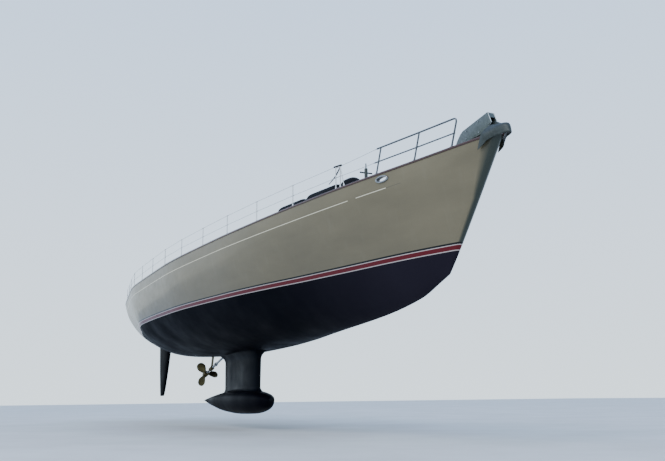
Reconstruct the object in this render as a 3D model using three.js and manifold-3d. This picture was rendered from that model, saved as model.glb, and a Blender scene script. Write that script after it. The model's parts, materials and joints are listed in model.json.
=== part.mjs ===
// A cruising sloop of 33.3 m, mast out: hull, keel, rudder, propeller, deckhouse, cockpit and deck gear.
// Millimetres. +X to the bow, +Y to port, +Z up. The origin is amidships, on the waterline.
import * as THREE from 'three';
import { mergeVertices } from 'three/addons/utils/BufferGeometryUtils.js';
import Module from 'manifold-3d';

const wasm = await Module();
wasm.setup();

// Driving dimensions of the whole boat
const LENGTH = 33300;
const STEM_X = LENGTH / 2;
const TRANSOM_X = -LENGTH / 2;
const GAP = 0.3;              // between pieces that rest on each other
const RUNNING_FIT = 0.08;     // between a shaft's corners and its bearing

// Hull lines at the rail: x, half breadth, height, and the power of the section's superellipse
const RAIL_LINE = [
  { x: 16650, half: 30, height: 2210, power: 1.9 },
  { x: 16600, half: 95, height: 2210, power: 1.9 },
  { x: 16400, half: 175, height: 2201, power: 1.85 },
  { x: 14390, half: 780, height: 2130, power: 1.7 },
  { x: 12140, half: 1450, height: 2050, power: 1.5 },
  { x: 9880, half: 1990, height: 1980, power: 1.57 },
  { x: 7620, half: 2460, height: 1910, power: 1.8 },
  { x: 5370, half: 2820, height: 1860, power: 2.05 },
  { x: 860, half: 3350, height: 1750, power: 2.28 },
  { x: -3660, half: 3460, height: 1690, power: 2.4 },
  { x: -8170, half: 2980, height: 1700, power: 1.86 },
  { x: -10850, half: 2610, height: 1715, power: 1.74 },
  { x: -12680, half: 2220, height: 1730, power: 1.7 },
  { x: -14600, half: 1810, height: 1755, power: 1.71 },
  { x: -16650, half: 1400, height: 1790, power: 1.78 },
];
// The canoe body's bottom on the centre plane: x, height
const KEEL_LINE = [
  { x: 14560, height: -430 },
  { x: 14130, height: -570 },
  { x: 13250, height: -830 },
  { x: 11270, height: -1070 },
  { x: 8000, height: -1230 },
  { x: 3000, height: -1350 },
  { x: -1000, height: -1360 },
  { x: -5000, height: -1230 },
  { x: -8000, height: -1030 },
  { x: -11000, height: -610 },
  { x: -12500, height: -395 },
  { x: -14300, height: -25 },
  { x: -15900, height: 345 },
];
const STEM_RAKE = STEM_X - KEEL_LINE[0].x;
const TRANSOM_RAKE = KEEL_LINE[KEEL_LINE.length - 1].x - TRANSOM_X;
const RAKE_ENDS_FORWARD = 6000;
const RAKE_STARTS_AFT = -9000;
const WIDEST_HALF = 3460;
// Bulkheads between the hull's sections, from the bow
const BULKHEADS = [{ name: 'hull_bow', back: 1000 }, { name: 'hull_saloon', back: -5000 },
  { name: 'hull_cockpit', back: -12000 }, { name: 'hull_stern', back: -20000 }];

// Deck edge
const BULWARK_HEIGHT = 300;   // deck edge below the top of the cap rail
const BULWARK_THICK = 75;
const CAP_THICK = 50;
const CAP_OVERHANG = 22;
const CAP_INSET = 105;
const DECK_THICK = 25;
const DECK_CAMBER = 90;
const DECK_STARTS = 0.02;     // share of the length aft of the stem
const BULWARK_OPENS = 0.007;

// Keel and bulb
const FIN = { front: 2000, back: -2000, thick: 420, foot: -2800, taper: 0.96 };
// Bulb sections: x, half breadth, top, bottom
const BULB = [
  { x: 3300, half: 60, top: -3090, bottom: -3190 },
  { x: 3150, half: 260, top: -2960, bottom: -3380 },
  { x: 2700, half: 430, top: -2850, bottom: -3520 },
  { x: 1700, half: 570, top: -2760, bottom: -3600 },
  { x: 300, half: 610, top: -2740, bottom: -3620 },
  { x: -1200, half: 570, top: -2780, bottom: -3560 },
  { x: -2700, half: 460, top: -2900, bottom: -3400 },
  { x: -3800, half: 330, top: -3020, bottom: -3230 },
  { x: -4300, half: 240, top: -3070, bottom: -3130 },
];

// Rudder: the blade hangs under the hull on an upright stock
const RUDDER_X = -12800;
const BLADE = [
  { height: -2870, front: -13160, back: -13960, thick: 90 },
  { height: -2700, front: -13020, back: -14020, thick: 130 },
  { height: -1650, front: -12480, back: -14250, thick: 210 },
  { height: -560, front: -12060, back: -14480, thick: 280 },
];
const BLADE_TOP_SLOPE = 0.14;  // the top edge climbs aft, under the hull
const STOCK = { radius: 95, top: 250 };

// Propeller shaft, on a line that falls aft from the hull's bottom
const SHAFT = { startX: -2250, startZ: -1345, slope: 0.23, radius: 45, inHull: 500 };
const BRACKET = { x: -4100, radius: 92, length: 340, armLength: 300, armThick: 60 };
const PROPELLER = { x: -5000, radius: 570, hubRadius: 120, hubLength: 420, blades: 3 };

// Deckhouse sections: x, half breadth, roof height
const HOUSE = [
  { x: 1700, half: 1120, roof: 1720 },
  { x: 1150, half: 1250, roof: 2240 },
  { x: 100, half: 1420, roof: 2480 },
  { x: -1500, half: 1560, roof: 2560 },
  { x: -2600, half: 1600, roof: 2560 },
  { x: -5000, half: 1600, roof: 2560 },
];
const HOUSE_BACK = HOUSE[HOUSE.length - 1].x;
const HOUSE_ROOF = HOUSE[HOUSE.length - 1].roof;
const HOUSE_WALL = 60;
const ROOF_CROWN = 130;
const WINDOW = { low: 1850, high: 2180, corner: 90, glass: 14 };
const WINDOW_SPANS = [[-50, 950], [-2150, -250], [-4250, -2350]];
const SALOON = { front: 700, back: -4700, half: 1150, floor: 500 };
const DOORWAY = { half: 370, sill: 1600, head: 2300 };
const DOOR_AXIS = [HOUSE_BACK - 16, DOORWAY.half + 4];
const DOOR_HINGES = [1720, 2260];
const SLIDE = { front: -3750, half: 420, thick: 55, lift: 6, travel: 850 };
const slideLow = HOUSE_ROOF + SLIDE.lift;
const ROOF_HATCH = { back: -1950, front: -1250, half: 350, frame: 45, wall: 45, lid: 36 };

// Cockpit
// The well narrows aft of the seats, as the hull does
const WELL = { front: -5300, narrows: -8600, back: -11700, half: 1750, backHalf: 1450, sole: 900 };
const COAMING = { width: 330, height: 330, front: -5050, back: -11950 };
const SEAT = { front: -5600, back: -8400, depth: 560, height: 430 };
const TABLE = { x: -6900, length: 1700, width: 820, height: 720, top: 45 };
const HELM = { x: -9900, y: 960, wheelRadius: 560, rim: 17, axle: 900, pedestal: 260 };
const WINCH = { radius: 150, height: 290, spindle: 45, flange: 175 };
const WINCHES = { primary: -9000, secondary: -6200 };

// Hatches on deck: x of the hinge, length aft or forward of it, half breadth
const HATCHES = [
  { name: 'forepeak_hatch', hinge: 11900, end: 11150, half: 375 },
  { name: 'sail_locker_hatch', hinge: 8900, end: 7700, half: 600 },
  { name: 'lazarette_hatch', hinge: -13050, end: -14000, half: 500 },
];
const HATCH = { frame: 70, wall: 45, lid: 40, lift: 6, pin: 14 };
const MAST = { x: 2900, long: 330, wide: 170, height: 150, wall: 35 };
const CAPSTAN = { x: 12950, radius: 165, height: 420 };
const CHAINPLATE = { x: 2500, length: 420, thick: 26, height: 190 };
const CLEATS = [6600, -1200, -13400];

// Rails
const STANCHION = { first: 11850, pitch: 1820, height: 600, radius: 15, wire: 6, inset: 45 };
const SPANS = [
  { tag: 'fore', from: 0, to: 4 },
  { tag: 'middle', from: 5, to: 9 },
  { tag: 'aft', from: 10, to: 13 },
];
const GATE = { post: 12020, brace: 12160, height: 560 };
const PULPIT = { feet: [15450, 14400, 13250], rake: 260, height: 600, middle: 290, radius: 20, tail: 110 };
const PUSHPIT = { feet: [-13900, -15100, -16250], height: 640, middle: 330, radius: 20 };
const HAWSES = [{ x: 13455 }, { x: -15000 }];
const HAWSE = { long: 160, high: 55, below: 168 };
const BITT = { x: 12550, inset: 350, radius: 42, body: 660, pin: 15, height: 790, arm: 175, armAt: 545 };
// Covered fenders that lie on the starboard side deck: ends along the boat, radius, and how far
// each is moved out and down to rest on the cap rail or the deck
const FENDERS = [
  { name: 'fender_round', front: 12240, back: 11700, radius: 285, out: 5.8, down: 0 },
  { name: 'fender_long', front: 11640, back: 10280, radius: 275, out: 0, down: 9.4 },
  { name: 'fender_short', front: 10220, back: 8970, radius: 255, out: 0, down: 11.8 },
];

// Anchor and the arm that stows it over the stem head, as profiles in x and z
const ARM_PROFILE = [[14900, 1840], [15110, 2330], [15200, 2440], [15330, 2555], [15430, 2600],
  [16320, 2720], [16430, 2465], [16170, 2318], [15480, 2318], [15330, 1840]];
const ARM = { half: 95, pocketHalf: 62, pocketBack: 15750, pocketLow: 2372, pocketTop: 2600 };
const SHANK_PROFILE = [[15900, 2372.3], [15900, 2480], [16470, 2480], [16650, 2380], [16880, 2290],
  [16930, 2150], [16870, 2150], [16800, 2230], [16600, 2315], [16440, 2372.3]];
const SHANK_THICK = 56;
// Claw from its tip to the nose: root, knee and lip of the plate as x, y, z, and its thickness
const CLAW = [
  { root: [16165, 262, 1965], knee: [16160, 262, 1945], lip: [16155, 260, 1925], thick: 10 },
  { root: [16260, 270, 2140], knee: [16300, 270, 2070], lip: [16340, 258, 1990], thick: 22 },
  { root: [16330, 262, 2250], knee: [16410, 256, 2160], lip: [16440, 224, 2060], thick: 22 },
  { root: [16440, 140, 2375], knee: [16610, 160, 2250], lip: [16620, 145, 2110], thick: 26 },
  { root: [16560, 75, 2375], knee: [16800, 85, 2300], lip: [16850, 80, 2110], thick: 30 },
  { root: [16620, 0, 2375], knee: [16870, 0, 2315], lip: [16945, 0, 2115], thick: 32 },
];
const CLAW_CENTRE = [16300, 0, 2080];
const ROLLER = { back: 16050, front: 16580, half: 85, slot: 40, low: 2210.3, high: 2285 };

// Finishes
const paint = (color, roughness, metalness = 0) =>
  new THREE.MeshStandardMaterial({ color, roughness, metalness });
const TOPSIDE = paint(0x7a776d, 0.25, 0.35);
const ANTIFOULING = paint(0x141c2c, 0.6);
const TEAK = paint(0x9a7a55, 0.7);
const VARNISH = paint(0x5a2a1a, 0.3);
const WHITE = paint(0xe6e4dc, 0.35);
const STEEL = paint(0xb4b7b8, 0.25, 0.95);
const BRONZE = paint(0xa8803c, 0.4, 0.9);
const GREY_METAL = paint(0x5c6a68, 0.45, 0.6);
const GLASS = paint(0x1c2226, 0.08);
const BLACK = paint(0x14161a, 0.75);

// A monotone cubic through points whose x falls
function curve(rows, column) {
  const xs = rows.map((row) => row.x);
  const ys = rows.map((row) => row[column]);
  const steps = xs.slice(1).map((x, i) => (ys[i + 1] - ys[i]) / (x - xs[i]));
  const slope = (i) => {
    if (i === 0) return steps[0];
    if (i === steps.length) return steps[i - 1];
    return steps[i - 1] * steps[i] <= 0 ? 0 : 2 / (1 / steps[i - 1] + 1 / steps[i]);
  };
  return (x) => {
    let i = 0;
    while (i < steps.length - 1 && x < xs[i + 1]) i += 1;
    const width = xs[i + 1] - xs[i];
    const t = (x - xs[i]) / width;
    const start = ys[i] + t * t * (3 - 2 * t) * (ys[i + 1] - ys[i]);
    return start + width * t * (1 - t) * ((1 - t) * slope(i) - t * slope(i + 1));
  };
}
const railHalf = curve(RAIL_LINE, 'half');
const railHeight = curve(RAIL_LINE, 'height');
const sectionPower = curve(RAIL_LINE, 'power');
const keelHeight = curve(KEEL_LINE, 'height');

// One section of the hull, which leans with the stem or the transom near the ends
function section(railX) {
  const forward = Math.max(0, (railX - RAKE_ENDS_FORWARD) / (STEM_X - RAKE_ENDS_FORWARD));
  const aft = Math.max(0, (RAKE_STARTS_AFT - railX) / (RAKE_STARTS_AFT - TRANSOM_X));
  const keelX = railX - STEM_RAKE * forward ** 2 + TRANSOM_RAKE * aft ** 2;
  const low = keelHeight(keelX);
  const top = railHeight(railX);
  const power = sectionPower(railX);
  const side = (z) => {
    const share = Math.max(0, (z - low) / (top - low));
    const bulge = 1 - Math.max(0, 1 - share) ** power;
    return { x: keelX + (railX - keelX) * share, y: railHalf(railX) * bulge ** (1 / power), z };
  };
  return { low, top, side, deckEdge: top - BULWARK_HEIGHT };
}
// Heights and breadths between sections run straight, as the skin does
function alongSections(value) {
  const xs = stationXs(0, 1);
  return (x) => {
    let i = 0;
    while (i < xs.length - 2 && x < xs[i + 1]) i += 1;
    const share = (x - xs[i]) / (xs[i + 1] - xs[i]);
    return value(xs[i]) * (1 - share) + value(xs[i + 1]) * share;
  };
}
const railTop = alongSections(railHeight);
const railSide = alongSections(railHalf);

const inside = (outer) => Math.max(outer - BULWARK_THICK, 0.3 * outer);
const camber = (half, y) => DECK_CAMBER * (half / WIDEST_HALF) ** 2 * (1 - (y / half) ** 2);

function stationXs(first, last) {
  const shares = [0, 0.002, 0.007, 0.02];
  for (let share = 0.04; share < 0.97; share += 0.04) shares.push(share);
  shares.push(0.98, 1);
  const between = shares.filter((share) => share > first + 1e-6 && share < last - 1e-6);
  return [first, ...between, last].map((share) => STEM_X - share * LENGTH);
}

// Solids and meshes
function solid(geometry) {
  const bare = geometry.clone();
  bare.deleteAttribute('normal');
  bare.deleteAttribute('uv');
  const merged = mergeVertices(bare, 1e-3);
  const vertProperties = new Float32Array(merged.attributes.position.array);
  const triVerts = new Uint32Array(merged.index.array);
  return new wasm.Manifold(new wasm.Mesh({ numProp: 3, vertProperties, triVerts }));
}
const join = (first, ...others) => others.reduce((whole, next) => whole.add(next), first);
const cut = (first, ...others) => others.reduce((whole, next) => whole.subtract(next), first);

const boat = new THREE.Group();
function add(name, shape, material) {
  const { vertProperties, triVerts } = shape.getMesh();
  const geometry = new THREE.BufferGeometry();
  geometry.setAttribute('position', new THREE.BufferAttribute(new Float32Array(vertProperties), 3));
  geometry.setIndex(new THREE.BufferAttribute(new Uint32Array(triVerts), 1));
  geometry.computeVertexNormals();
  const mesh = new THREE.Mesh(geometry, material);
  mesh.name = name;
  boat.add(mesh);
  return mesh;
}

// A skin over rings of points, with flat ends or joined into a loop
function loft(rings, loop = false) {
  const count = rings[0].length;
  const points = rings.flat();
  const faces = [];
  for (let r = 0; r < rings.length - (loop ? 0 : 1); r += 1) {
    const next = ((r + 1) % rings.length) * count;
    for (let i = 0; i < count; i += 1) {
      const j = (i + 1) % count;
      const [a, b] = [r * count + i, r * count + j];
      faces.push(a, b, next + j, a, next + j, next + i);
    }
  }
  const ends = [[rings[0], 0, true], [rings[rings.length - 1], points.length - count, false]];
  for (const [ring, start, flip] of loop ? [] : ends) {
    const centre = ring.reduce((sum, p) => sum.map((v, k) => v + p[k] / count), [0, 0, 0]);
    const hub = points.push(centre) - 1;
    for (let i = 0; i < count; i += 1) {
      const pair = [start + i, start + (i + 1) % count];
      faces.push(hub, ...(flip ? pair.reverse() : pair));
    }
  }
  const volume = faces.reduce((sum, _, i) => {
    if (i % 3) return sum;
    const [a, b, c] = faces.slice(i, i + 3).map((k) => new THREE.Vector3(...points[k]));
    return sum + a.dot(b.cross(c));
  }, 0);
  if (volume < 0) faces.reverse();
  const geometry = new THREE.BufferGeometry();
  geometry.setAttribute('position', new THREE.Float32BufferAttribute(points.flat(), 3));
  geometry.setIndex(faces);
  return solid(geometry);
}

function box(x0, x1, y0, y1, z0, z1) {
  const geometry = new THREE.BoxGeometry(Math.abs(x1 - x0), Math.abs(y1 - y0), Math.abs(z1 - z0));
  return solid(geometry.translate((x0 + x1) / 2, (y0 + y1) / 2, (z0 + z1) / 2));
}
// A bar or cone between two points
function rod(from, to, radius, sides = 8, endRadius = radius) {
  const a = new THREE.Vector3(...from);
  const b = new THREE.Vector3(...to);
  const geometry = new THREE.CylinderGeometry(endRadius, radius, a.distanceTo(b), sides);
  const along = b.clone().sub(a).normalize();
  geometry.applyQuaternion(new THREE.Quaternion().setFromUnitVectors(new THREE.Vector3(0, 1, 0), along));
  const middle = a.add(b).multiplyScalar(0.5);
  return solid(geometry.translate(middle.x, middle.y, middle.z));
}
const ball = ([x, y, z], radius) => solid(new THREE.IcosahedronGeometry(radius * 1.1, 0).translate(x, y, z));
// Bars from point to point with a ball at each bend
function frameOf(paths, radius, sides = 6) {
  const bars = [];
  for (const path of paths) {
    path.slice(1).forEach((point, i) => bars.push(rod(path[i], point, radius, sides)));
    path.slice(1, -1).forEach((point) => bars.push(ball(point, radius)));
  }
  return join(...bars);
}
// A profile in x and z, pulled out sideways
function plate(profile, y0, y1) {
  const shape = new THREE.Shape(profile.map(([x, z]) => new THREE.Vector2(x, z)));
  const geometry = new THREE.ExtrudeGeometry(shape, { depth: y1 - y0, bevelEnabled: false });
  return solid(geometry.rotateX(Math.PI / 2).translate(0, y1, 0));
}
// An outline in x and y, pulled up from one height to another
function prism(outline, z0, z1) {
  const shape = new THREE.Shape(outline.map(([x, y]) => new THREE.Vector2(x, y)));
  const block = new THREE.ExtrudeGeometry(shape, { depth: z1 - z0, bevelEnabled: false });
  return solid(block.translate(0, 0, z0));
}
// The cockpit's outline, grown sideways and lengthways
function wellOutline(grow = 0, ahead = 0, behind = 0) {
  const port = [[WELL.front + ahead, WELL.half + grow], [WELL.narrows, WELL.half + grow],
    [WELL.back - behind, wellHalf(WELL.back - behind) + grow]];
  return [...port, ...port.map(([x, y]) => [x, -y]).reverse()];
}
function wellHalf(x) {
  const share = Math.max(0, (WELL.narrows - x) / (WELL.narrows - WELL.back));
  return WELL.half + share * (WELL.backHalf - WELL.half);
}
// A profile of radius and height turned about an upright axis
function turned(profile, x, y, sides = 24) {
  const points = profile.map(([radius, z]) => new THREE.Vector2(radius, z));
  return solid(new THREE.LatheGeometry(points, sides).rotateX(Math.PI / 2).translate(x, y, 0));
}
// A bearing's corners stand outside the shaft's, so that the shaft turns in it
const bore = (radius, sides) => (radius + RUNNING_FIT) / Math.cos(Math.PI / sides);

// The hull with its deck surface, as one solid, drawn lower by drop
function hullSolid(drop = 0) {
  const girth = 10;
  // The camber ends where the bulwark's plank across the transom stands
  const plank = TRANSOM_X + BULWARK_THICK;
  const rings = [...stationXs(0, 1 - (BULWARK_THICK + GAP) / LENGTH), plank, TRANSOM_X].map((x) => {
    const { low, side, deckEdge } = section(x);
    const half = [];
    for (let i = 1; i <= girth; i += 1) {
      const { x: px, y, z } = side(low + (deckEdge - low) * (i / girth) ** 2);
      half.push([px, y, z - drop]);
    }
    const edge = half[girth - 1];
    const deckHalf = inside(edge[1]);
    const rise = (y) => (x > plank ? camber(deckHalf, y) : 0);
    const across = [deckHalf, deckHalf / 2].map((y) => [edge[0], y, edge[2] + rise(y)]);
    const mirror = (points) => points.map(([px, y, z]) => [px, -y, z]).reverse();
    const crown = [edge[0], 0, edge[2] + rise(0)];
    const port = [...half, ...across];
    return [[side(low).x, 0, low - drop], ...port, crown, ...mirror(port)];
  });
  return loft(rings);
}

// A slice through the hull's sides at some levels, with its breadth changed by a rule
function slice(first, last, levels, breadth, nose = 0) {
  const rings = stationXs(first, last).map((x, i) => {
    const here = section(x);
    const ahead = i === 0 ? nose : 0;
    const corners = levels(here).map((z) => {
      const { x: px, y } = here.side(z);
      return [px + ahead, breadth(y, here), z];
    });
    return [...corners, ...corners.map(([px, y, z]) => [px, -y, z]).reverse()];
  });
  return loft(rings);
}

function deckSolid() {
  const last = 1 - (BULWARK_THICK + GAP) / LENGTH;
  const rings = stationXs(DECK_STARTS, last).map((x) => {
    const { side, deckEdge } = section(x);
    const edge = side(deckEdge);
    const half = inside(edge.y);
    const level = (lift) => [half - GAP, half / 2, 0, -half / 2, GAP - half]
      .map((y) => [edge.x, y, deckEdge + lift + camber(half, y)]);
    return [...level(GAP), ...level(DECK_THICK).reverse()];
  });
  return loft(rings);
}
function deckHeight(x, y = 0) {
  const { side, deckEdge } = section(x);
  const half = inside(side(deckEdge).y);
  return deckEdge + DECK_THICK + camber(half, Math.min(Math.abs(y), half));
}

// Symmetric blade section between a front and a back, at a height that may slope aft
function foil(front, back, thick, height, slope = 0, points = 9) {
  const chord = front - back;
  const side = [];
  for (let i = 0; i <= points; i += 1) {
    const share = (1 - Math.cos((Math.PI * i) / points)) / 2;
    const bulge = 2.6 * (Math.sqrt(share) - share) + 0.35 * share * (1 - share);
    side.push([front - chord * share, Math.max(4, thick * bulge * 0.66), height + slope * chord * share]);
  }
  return [...side, ...side.slice(1).reverse().map(([x, y, z]) => [x, -y, z])];
}

const hull = hullSolid();
const hullBelow = hullSolid(GAP);
const hullRaised = hullSolid(-DECK_THICK / 3);

function sailHull() {
  const stockHole = rod([RUDDER_X, 0, -900], [RUDDER_X, 0, STOCK.top + 30], bore(STOCK.radius, 24), 24);
  const shaftHole = rod(onShaft(SHAFT.startX - 900), onShaft(SHAFT.startX + SHAFT.inHull + 20),
    bore(SHAFT.radius, 16), 16);
  const well = prism(wellOutline(), WELL.sole, 2600);
  const saloon = box(SALOON.back, SALOON.front, -SALOON.half, SALOON.half, SALOON.floor, 2600);
  const whole = cut(hull, stockHole, shaftHole, well, saloon);
  let front = STEM_X + 1000;
  for (const { name, back } of BULKHEADS) {
    const length = box(back, front, -4000, 4000, -4000, 4000);
    add(name, whole.intersect(length), TOPSIDE);
    front = back - GAP;
  }
}

function onShaft(x) {
  return [x, 0, SHAFT.startZ + SHAFT.slope * (x - SHAFT.startX)];
}

function underwaterParts() {
  const shrink = (value) => (value - (FIN.front + FIN.back) / 2) * FIN.taper;
  const finRings = [foil(FIN.front, FIN.back, FIN.thick, -1000),
    foil(shrink(FIN.front), shrink(FIN.back), FIN.thick * FIN.taper, FIN.foot - 200)];
  const bulbRings = (lift) => BULB.map(({ x, half, top, bottom }) => {
    const middle = -3110 + (x < -1200 ? 10 : 0);
    const ring = [];
    for (let i = 0; i < 20; i += 1) {
      const turn = (i / 20) * 2 * Math.PI;
      const reach = Math.sin(turn) > 0 ? top - middle : middle - bottom;
      const square = Math.sign(Math.cos(turn)) * Math.abs(Math.cos(turn)) ** 0.85;
      ring.push([x, half * square, middle + lift + reach * Math.sin(turn)]);
    }
    return ring;
  });
  add('keel_fin', cut(loft(finRings), hullBelow, loft(bulbRings(GAP))), ANTIFOULING);
  add('keel_bulb', loft(bulbRings(0)), ANTIFOULING);

  const bladeRings = BLADE.map(({ height, front, back, thick }, i) => (
    foil(front, back, thick, height, i === BLADE.length - 1 ? BLADE_TOP_SLOPE : 0)));
  add('rudder_blade', loft(bladeRings), ANTIFOULING);
  const seat = BLADE[BLADE.length - 1];
  const seatHeight = seat.height + BLADE_TOP_SLOPE * (seat.front - RUDDER_X + STOCK.radius) + GAP;
  add('rudder_stock', rod([RUDDER_X, 0, seatHeight], [RUDDER_X, 0, STOCK.top], STOCK.radius, 24), STEEL);
}

function driveLine() {
  const hubFace = PROPELLER.x + (PROPELLER.hubLength / 2 + GAP) * Math.cos(Math.atan(SHAFT.slope));
  const shaft = rod(onShaft(hubFace), onShaft(SHAFT.startX + SHAFT.inHull), SHAFT.radius, 16);
  add('propeller_shaft', shaft, STEEL);
  const { x, radius, length, armLength, armThick } = BRACKET;
  const barrel = rod(onShaft(x - length / 2), onShaft(x + length / 2), radius, 20);
  const passage = rod(onShaft(x - length), onShaft(x + length), bore(SHAFT.radius, 16), 16);
  const [, , axleZ] = onShaft(x);
  const arm = loft([[0, 0], [250, 700]].map(([ahead, up]) => (
    foil(x + ahead + armLength / 2, x + ahead - armLength / 2, armThick, axleZ + up))));
  add('shaft_bracket', cut(join(arm, barrel), passage, hullBelow), BRONZE);

  const reach = PROPELLER.hubLength / 2;
  const hub = rod([-reach, 0, 0], [reach, 0, 0], PROPELLER.hubRadius * 0.8, 20, PROPELLER.hubRadius);
  const cap = rod([-reach - 130, 0, 0], [-reach + 1, 0, 0], 30, 20, PROPELLER.hubRadius * 0.8);
  const blades = [];
  for (let k = 0; k < PROPELLER.blades; k += 1) {
    blades.push(propellerBlade((k * 2 * Math.PI) / PROPELLER.blades + Math.PI / 6));
  }
  const propeller = add('propeller', join(hub, cap, ...blades), BRONZE);
  propeller.rotation.y = -Math.atan(SHAFT.slope);
  propeller.position.set(...onShaft(PROPELLER.x));
}

// One blade, twisted from root to tip and turned about the shaft
function propellerBlade(turn) {
  // share of the radius, width, twist from the disc in degrees
  const rows = [
    [0.12, 150, 55], [0.35, 300, 40], [0.6, 380, 28], [0.82, 330, 22], [0.95, 200, 19], [1, 60, 18],
  ];
  const rings = rows.map(([share, width, twist]) => {
    const angle = (twist * Math.PI) / 180;
    const ring = [];
    for (let i = 0; i < 10; i += 1) {
      const round = (i / 10) * 2 * Math.PI;
      const along = (width / 2) * Math.cos(round);
      const thick = (26 - 18 * share) * Math.sin(round);
      const x = along * Math.sin(angle) + thick * Math.cos(angle);
      const y = along * Math.cos(angle) - thick * Math.sin(angle);
      const z = PROPELLER.radius * share;
      ring.push([x, y * Math.cos(turn) - z * Math.sin(turn), y * Math.sin(turn) + z * Math.cos(turn)]);
    }
    return ring;
  });
  return loft(rings);
}

function bulwarkAndRail() {
  const past = 40;
  const outer = slice(0, 1, ({ deckEdge, top }) => [deckEdge + GAP, top - CAP_THICK - GAP], (y) => y);
  const last = 1 - BULWARK_THICK / LENGTH;
  const inner = slice(BULWARK_OPENS, last, ({ deckEdge, top }) => [deckEdge - past, deckEdge, top + past],
    (y, { side, deckEdge }) => inside(Math.max(y, side(deckEdge).y)));
  const holes = HAWSES.flatMap(({ x }) => [-1, 1].map((side) => {
    const hole = new THREE.CylinderGeometry(HAWSE.high, HAWSE.high, 900, 20);
    hole.scale(HAWSE.long / HAWSE.high, 1, 1);
    return solid(hole.translate(x, side * railHalf(x), railHeight(x) - HAWSE.below));
  }));
  // Points that all but meet where its planes cross are merged
  add('bulwark', cut(outer, inner, ...holes).simplify(0.02), TOPSIDE);

  // The rail's inner edge closes to a point behind the stem
  const start = section(STEM_X - DECK_STARTS * LENGTH).side(railHeight(STEM_X - DECK_STARTS * LENGTH));
  const port = stationXs(0, 1).map((x) => {
    const { side, top } = section(x);
    const nose = Math.min(1, (STEM_X - x) / (DECK_STARTS * LENGTH));
    const ahead = x === STEM_X ? CAP_OVERHANG : 0;
    const back = x === TRANSOM_X ? CAP_INSET : 0;
    return [[0, -CAP_THICK], [0, 0], [1, 0], [1, -CAP_THICK]].map(([inner, drop]) => {
      const { x: px, y } = side(top + drop);
      if (!inner) return [px + ahead, y + CAP_OVERHANG, top + drop];
      if (nose < 1) return [start.x + 30 * (1 - nose), (start.y - CAP_INSET) * nose + 4, top + drop];
      return [px + back, y - CAP_INSET, railTop(x + back) + drop];
    });
  });
  const starboard = port.map((ring) => ring.map(([x, y, z]) => [x, -y, z])).reverse();
  add('cap_rail', loft([...port, ...starboard], true), VARNISH);
}

function deckPlate() {
  const openings = [
    prism(wellOutline(), 0, 2600),
    box(SALOON.back, SALOON.front, -SALOON.half, SALOON.half, 0, 2600),
  ];
  const fittings = [];
  for (const { hinge, end, half } of HATCHES) {
    const [back, front] = [Math.min(hinge, end), Math.max(hinge, end)];
    const base = Math.min(deckHeight(back, half), deckHeight(front, half));
    const top = hatchTop({ hinge, end });
    const reach = half - HATCH.wall;
    const hole = box(back + HATCH.wall, front - HATCH.wall, -reach, reach, base - 60, top + 10);
    fittings.push(cut(box(back, front, -half, half, base - 12, top), hole));
    openings.push(hole);
  }
  for (const x of CLEATS) for (const side of [-1, 1]) fittings.push(cleat(x, side));
  add('deck', cut(join(deckSolid(), cut(join(...fittings), hullRaised)), ...openings), TEAK);
}
// Plates on the side decks that the shrouds are fastened to
function chainplates() {
  const { x, length, thick, height } = CHAINPLATE;
  for (const [side, tag] of [[1, 'port'], [-1, 'starboard']]) {
    const y = side * (railHalf(x) - 260);
    const low = deckHeight(x, y);
    const shape = box(x - length / 2, x + length / 2, y - thick / 2, y + thick / 2, low - 30, low + height);
    add(`chainplate_${tag}`, cut(shape, deckCutter()), STEEL);
  }
}
// A post with cross arms on each side of the foredeck, for the mooring lines
function mooringBitts() {
  const { x, inset, radius, body, pin, height, arm, armAt } = BITT;
  for (const [side, tag] of [[1, 'port'], [-1, 'starboard']]) {
    const y = side * (railHalf(x) - inset);
    const low = deckHeight(x, y);
    const post = rod([x, y, low - 30], [x, y, low + body], radius, 12);
    const foot = rod([x, y, low - 30], [x, y, low + 45], radius * 2, 12, radius * 1.3);
    const top = rod([x, y, low + body - 1], [x, y, low + height], pin, 8);
    const arms = rod([x, y - arm, low + armAt], [x, y + arm, low + armAt], radius * 0.45, 8);
    add(`mooring_bitt_${tag}`, cut(join(post, foot, top, arms), deckCutter()), GREY_METAL);
  }
}
// Covered fenders, one behind the other against the bulwark
function fenders() {
  for (const { name, front, back, radius, out, down } of FENDERS) {
    const end = (x) => {
      const { side, deckEdge } = section(x);
      const y = inside(side(deckEdge).y) - radius - 20;
      return new THREE.Vector3(x, -y - out, deckHeight(x, y - radius) + radius + GAP - down);
    };
    const [a, b] = [end(front), end(back)];
    const along = b.clone().sub(a);
    const lift = Math.max(0, deckHeight(front, 0) - deckHeight(front, a.y)) * 0.2;
    const bow = new THREE.Vector3(1, 0, 0);
    const turn = new THREE.Quaternion().setFromUnitVectors(bow, along.clone().normalize());
    const blunt = Math.min(0.45, (radius * 0.75) / along.length());
    const shares = [[0, 0.3], [0.25, 0.72], [0.6, 0.94], [1, 1]];
    const stations = [...shares.map(([s, r]) => [s * blunt, r]),
      ...shares.slice().reverse().map(([s, r]) => [1 - s * blunt, r])];
    const rings = stations.map(([share, size]) => Array.from({ length: 16 }, (_, i) => {
      const round = (i / 16) * 2 * Math.PI;
      const offset = new THREE.Vector3(0, radius * size * Math.cos(round), radius * size * Math.sin(round));
      return offset.applyQuaternion(turn).add(a).addScaledVector(along, share).toArray();
    })).map((ring) => ring.map(([px, py, pz]) => [px, py, pz + lift]));
    add(name, loft(rings), BLACK);
  }
}
function hatchTop({ hinge, end }) {
  return Math.max(deckHeight(hinge), deckHeight(end)) + HATCH.frame;
}
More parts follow.
